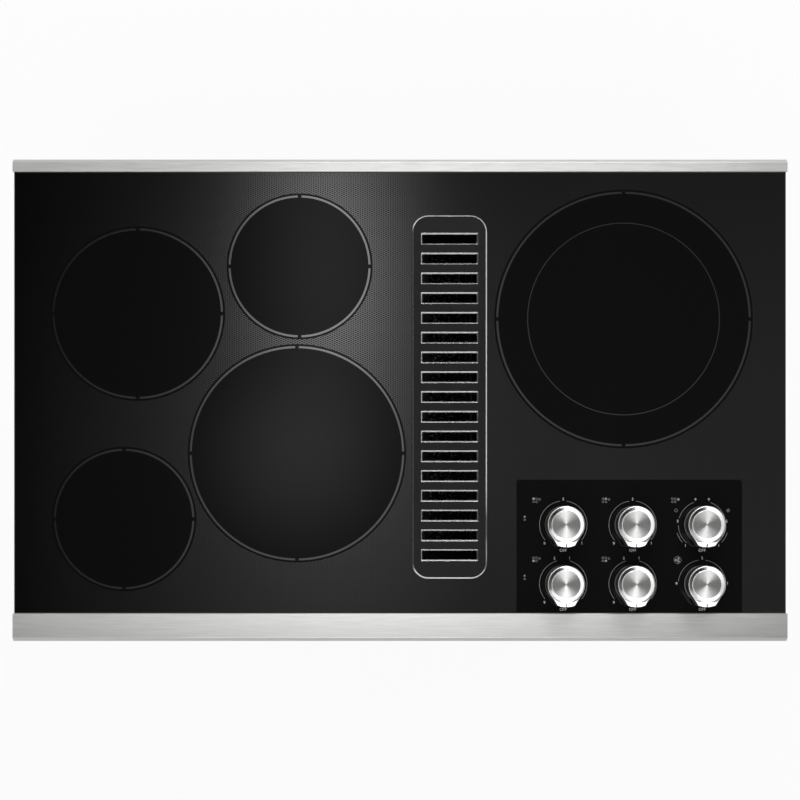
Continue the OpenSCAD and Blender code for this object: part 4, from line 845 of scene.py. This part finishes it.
def printed_text(words, x, y, height):
    """Flat words whose capitals are height high. A capital takes 0.69 of the font's size."""
    rest()
    bpy.ops.object.text_add(location=(x, y, glass_top))
    mark = bpy.context.object
    mark.data.body = words
    mark.data.align_x = "CENTER"
    mark.data.align_y = "CENTER"
    mark.data.size = height / capital
    mark.data.offset = 0.04 * MM
    bpy.ops.object.convert(target="MESH")
    return bpy.context.object


def printed_disc(x, y, radius):
    """A flat disc on the glass."""
    rest()
    bpy.ops.mesh.primitive_circle_add(
        vertices=20, radius=radius, fill_type="NGON", location=(x, y, glass_top)
    )
    return bpy.context.object


def clock(x, y, angle, radius):
    """The place radius mm from x, y at a clock angle."""
    a = math.radians(angle)
    return x + radius * MM * math.sin(a), y + radius * MM * math.cos(a)


letter_print = worn("letter_print", (0.66, 0.66, 0.66), (0.8, 0.8, 0.8), (0.35, 0.5), 90)
arc_print = worn("arc_print", (0.24, 0.24, 0.24), (0.32, 0.32, 0.32), (0.3, 0.45), 90)

# %% What each dial says
arc_r, outer_arc_r, arc_half = 28.3, 31.4, 0.24
single = {
    "arcs": [(8, 130), (-130, -8)],
    "marks": [("9", -135, 31.7), ("5", 0, 30.3), ("1", 135, 31.3)],
}
curved = {
    "arcs": [(15.6, 130), (-130, -16)],
    "marks": [("9", -135, 31.7), ("5", -19, 32.0), ("1", 14, 31.4)],
}
dual = {
    "arcs": [(21, 74), (91, 140), (-74, -21), (-140, -91)],
    "outer": [(108, 132), (-132, -108)],
    "marks": [("9", -15, 30.8), ("9", 15, 30.8), ("5", -82, 29.3), ("5", 82, 29.3),
              ("1", -141.5, 31.8), ("1", 141.5, 31.8)],
}
speeds = {
    "arcs": [(8, 84), (-84, -8)],
    "marks": [("9", -90, 30.4), ("5", 0, 30.4), ("1", 90, 30.4)],
}
dials = {
    "left_rear": single, "centre_rear": single, "right": dual, "left_front": curved,
    "centre_front": curved, "fan": speeds,
}
diagram = {
    "left_rear": (-3.5, 1.7), "centre_rear": (0, 1.7), "left_front": (-3.5, -1.9),
    "centre_front": (0, -1.9), "right": (3.6, 0.9),
}
print({control: " ".join(words for words, *_ in dial["marks"]) for control, dial in dials.items()})


# %% Signs beside the dials
def zone_sign(x, y, own):
    """Five dots laid out as the zones are. The dial's own zone is full."""
    for zone, (right_by, up_by) in diagram.items():
        at = (x + (right_by - 31.9) * MM, y + (up_by + 29.2) * MM)
        if zone == own:
            yield printed_disc(*at, 1.5 * MM)
        else:
            yield printed_ring("dot", *at, 0.95 * MM, 1.3 * MM, 20)


def fan_sign(x, y):
    """Three blades in a ring."""
    at = (x - 29 * MM, y + 28.3 * MM)
    yield printed_ring("rim", *at, 3.95 * MM, 4.35 * MM, 48)
    for blade in (30, 150, 270):
        yield printed_disc(*clock(*at, blade, 1.9), 1.35 * MM)


def dual_signs(x, y):
    """One ring on the left for the inner element, two on the right for both."""
    for side, count in ((-1, 1), (1, 2)):
        for k in range(count):
            outer = (1.9 - 1.0 * k) * MM
            at = (x + side * 31 * MM, y + 17 * MM)
            yield printed_ring("o", *at, outer - 0.35 * MM, outer, 32)


# %% Print the dials
for control, (x, y) in controls.items():
    dial = dials[control]
    arcs = []
    for radius, spans in ((arc_r, dial["arcs"]), (outer_arc_r, dial.get("outer", []))):
        if spans:

            def in_a_span(angle):
                return any(low <= angle <= high for low, high in spans)

            edges = ((radius - arc_half) * MM, (radius + arc_half) * MM)
            arcs.append(printed_ring("arc", x, y, *edges, 360, in_a_span))
    letters = [
        printed_text(words, *clock(x, y, angle, radius), 3.2 * MM)
        for words, angle, radius in dial["marks"]
    ]
    letters.append(printed_text("OFF", x, y - 30.6 * MM, 3.4 * MM))
    arcs += fan_sign(x, y) if control == "fan" else zone_sign(x, y, control)
    if control == "right":
        arcs += dual_signs(x, y)
    thicken(joined(letters, "dial"), "dial_" + control, letter_print)
    thicken(joined(arcs, "arcs"), "dial_arcs_" + control, arc_print)
    print(control, "dial printed")

# %% Marks for the two indicator lamps
marks = []
for row in rows:
    at = (columns[0] - 46 * MM, row + 9.5 * MM)
    marks.append(printed_disc(*at, 1.1 * MM))
    marks.append(printed_ring("o", at[0], at[1] - 3.6 * MM, 0.8 * MM, 1.2 * MM, 20))
thicken(joined(marks, "marks"), "indicator_marks", arc_print)
print(len(marks), "indicator marks")

# %% [markdown]
# ## The studio's light
# Polished glass and metal show the room more than their own colour, so the room is drawn with
# care. It is a dome in the world's shader, which gives soft edges that lamps can't, and each part
# of it is a mask over a ray's direction: dx to the right, dy to the wall and dz up.
#
# The ceiling is nearly black, which is why the glass looks black. One soft lamp near the camera
# glows on the middle of the glass, with a haze round it, and faint light lies to both sides.

# %% The ceiling
world = bpy.data.worlds.new("studio")
bpy.context.scene.world = world
world.use_nodes = True
tree = world.node_tree
dx, dy, dz = add(tree, "SeparateXYZ", {0: add(tree, "TexCoord").outputs["Generated"]}).outputs
soft = "SMOOTHSTEP"


def product(*masks):
    """The masks multiplied together."""
    total = masks[0]
    for mask in masks[1:]:
        total = calc(tree, "MULTIPLY", total, mask)
    return total


def bell(value, middle, width):
    """1 at middle, falling off as a bell curve."""
    off = calc(tree, "DIVIDE", calc(tree, "SUBTRACT", value, middle), width)
    return calc(tree, "EXPONENT", product(off, off, -0.5))


lamp = product(bell(dx, -0.014, 0.030), bell(dy, 0.17, 0.075))
light_haze = product(bell(dx, -0.008, 0.075), bell(dy, 0.07, 0.13))
left = product(ramp(tree, dx, -0.22, -0.165, 0.003, 0.012), bell(dy, 0.0, 0.13))
right = product(ramp(tree, dx, 0.05, 0.16, 0.0, 0.045), bell(dy, 0.0, 0.21))
haze_share, lamp_share, ceiling_glow = 0.09, 0.31, 2.2
ceiling = calc(tree, "MULTIPLY_ADD", light_haze, haze_share, calc(tree, "MAXIMUM", left, right))
ceiling = calc(tree, "MULTIPLY_ADD", lamp, lamp_share, ceiling)
ceiling = product(ceiling, ceiling_glow)
print("ceiling:", len(tree.nodes), "nodes")

# %% [markdown]
# The trims need light from the front and the rear, brightest towards the middle of each trim. A
# dimmer ring of light round the ceiling shades the knobs' dishes, and past it the walls are bright
# all round. Three things darken them. A flag at the right, as photographers call a black card,
# draws the dark crescents in the dishes. A band low on the walls keeps the black glass black when
# it is seen from the side. And at the far left the wall turns dark.

# %% Front, rear and walls
ends_glow, band_darkness = 2.8, 0.82
front = calc(
    tree, "ADD", ramp(tree, dy, -0.12, -0.26, kind=soft),
    ramp(tree, dy, -0.34, -0.44, 0.0, 0.9, kind=soft),
)
rear = ramp(tree, dy, 0.28, 0.46, 0.0, 0.82, kind=soft)
ends = calc(
    tree, "ADD", product(bell(dx, 0.03, 0.145), front), product(bell(dx, -0.1, 0.13), rear)
)
ends = product(ends, ramp(tree, dz, 0.68, 0.82, kind=soft))
out = calc(tree, "SUBTRACT", 1.0, product(dz, dz))
slant = calc(tree, "DIVIDE", product(dx, dy), out)
ring_light = calc(tree, "MULTIPLY_ADD", slant, 0.25, 0.52)
ring_light = product(ring_light, ramp(tree, out, 0.09, 0.25, kind=soft))
high_walls = ramp(tree, out, 0.22, 0.36, 0.0, 1.25, kind=soft)
low_walls = ramp(tree, dz, 0.7, 0.4, kind=soft)
flag = product(
    ramp(tree, dx, 0.2, 0.3, kind=soft), ramp(tree, dy, 0.24, 0.16, kind=soft),
    ramp(tree, dz, 0.24, 0.32, kind=soft), ramp(tree, dz, 0.92, 0.86, kind=soft),
)
band = product(ramp(tree, dz, 0.66, 0.54, kind=soft), ramp(tree, dz, 0.12, 0.22))
walls = product(
    calc(tree, "MAXIMUM", ring_light, calc(tree, "MAXIMUM", high_walls, low_walls)),
    ramp(tree, dx, -0.96, -0.82, 0.03, 1, kind=soft),
    calc(tree, "SUBTRACT", 1.0, flag),
    calc(tree, "MULTIPLY_ADD", band, -band_darkness, 1.0),
)
glow = calc(tree, "MAXIMUM", ceiling, walls)
glow = calc(tree, "MAXIMUM", glow, product(ends, ends_glow))
background = tree.nodes["Background"]
tree.links.new(glow, background.inputs["Color"])
background.inputs["Strength"].default_value = 1.0
print("studio:", len(tree.nodes), "nodes")

# %% [markdown]
# ## The floor
# The floor is pale. To the camera, to reflections and through glass it mostly glows on its own,
# nearly white, and it keeps a small share of the real light, so the object's shadow stays on it.
# One large, weak lamp behind the cooktop gives that shadow its direction.

# %% Pale floor
glow_share = 0.925
rest()
floor_z = cad_box[0][2] - 0.5 * MM
bpy.ops.mesh.primitive_plane_add(size=10, location=(0, 0, floor_z))
floor = named(bpy.context.object, "floor")
pale = finish("pale_floor", (0.85, 0.85, 0.85), 0.9)
tree = pale.node_tree
rays = add(tree, "LightPath").outputs
seen = calc(tree, "MAXIMUM", rays["Is Camera Ray"], rays["Is Glossy Ray"])
seen = calc(tree, "MAXIMUM", seen, rays["Is Transmission Ray"])
white = add(tree, "Emission", {"Color": (1, 1, 1, 1), "Strength": 1.0})
lit = tree.nodes["Principled BSDF"]
keys = {0: calc(tree, "MULTIPLY", seen, glow_share), 1: lit.outputs[0], 2: white.outputs[0]}
mixed = add(tree, "MixShader", keys)
tree.links.new(mixed.outputs[0], tree.nodes["Material Output"].inputs["Surface"])
give(floor, pale)
print("floor", round(floor_z / MM, 1), "mm below the worktop's surface")

# %% Key light
bpy.ops.object.light_add(type="AREA", location=(0.35, 1.7, 1.5))
key = bpy.context.object
key.data.shape = "RECTANGLE"
key.data.size = 1.2
key.data.size_y = 0.5
key.data.energy = 14
key.rotation_euler = (math.radians(-48), 0, math.radians(-8))
bpy.context.scene.view_settings.view_transform = "Standard"
print("key light of", key.data.energy, "W")

# %% [markdown]
# ## Finish

# %% The end
rest()
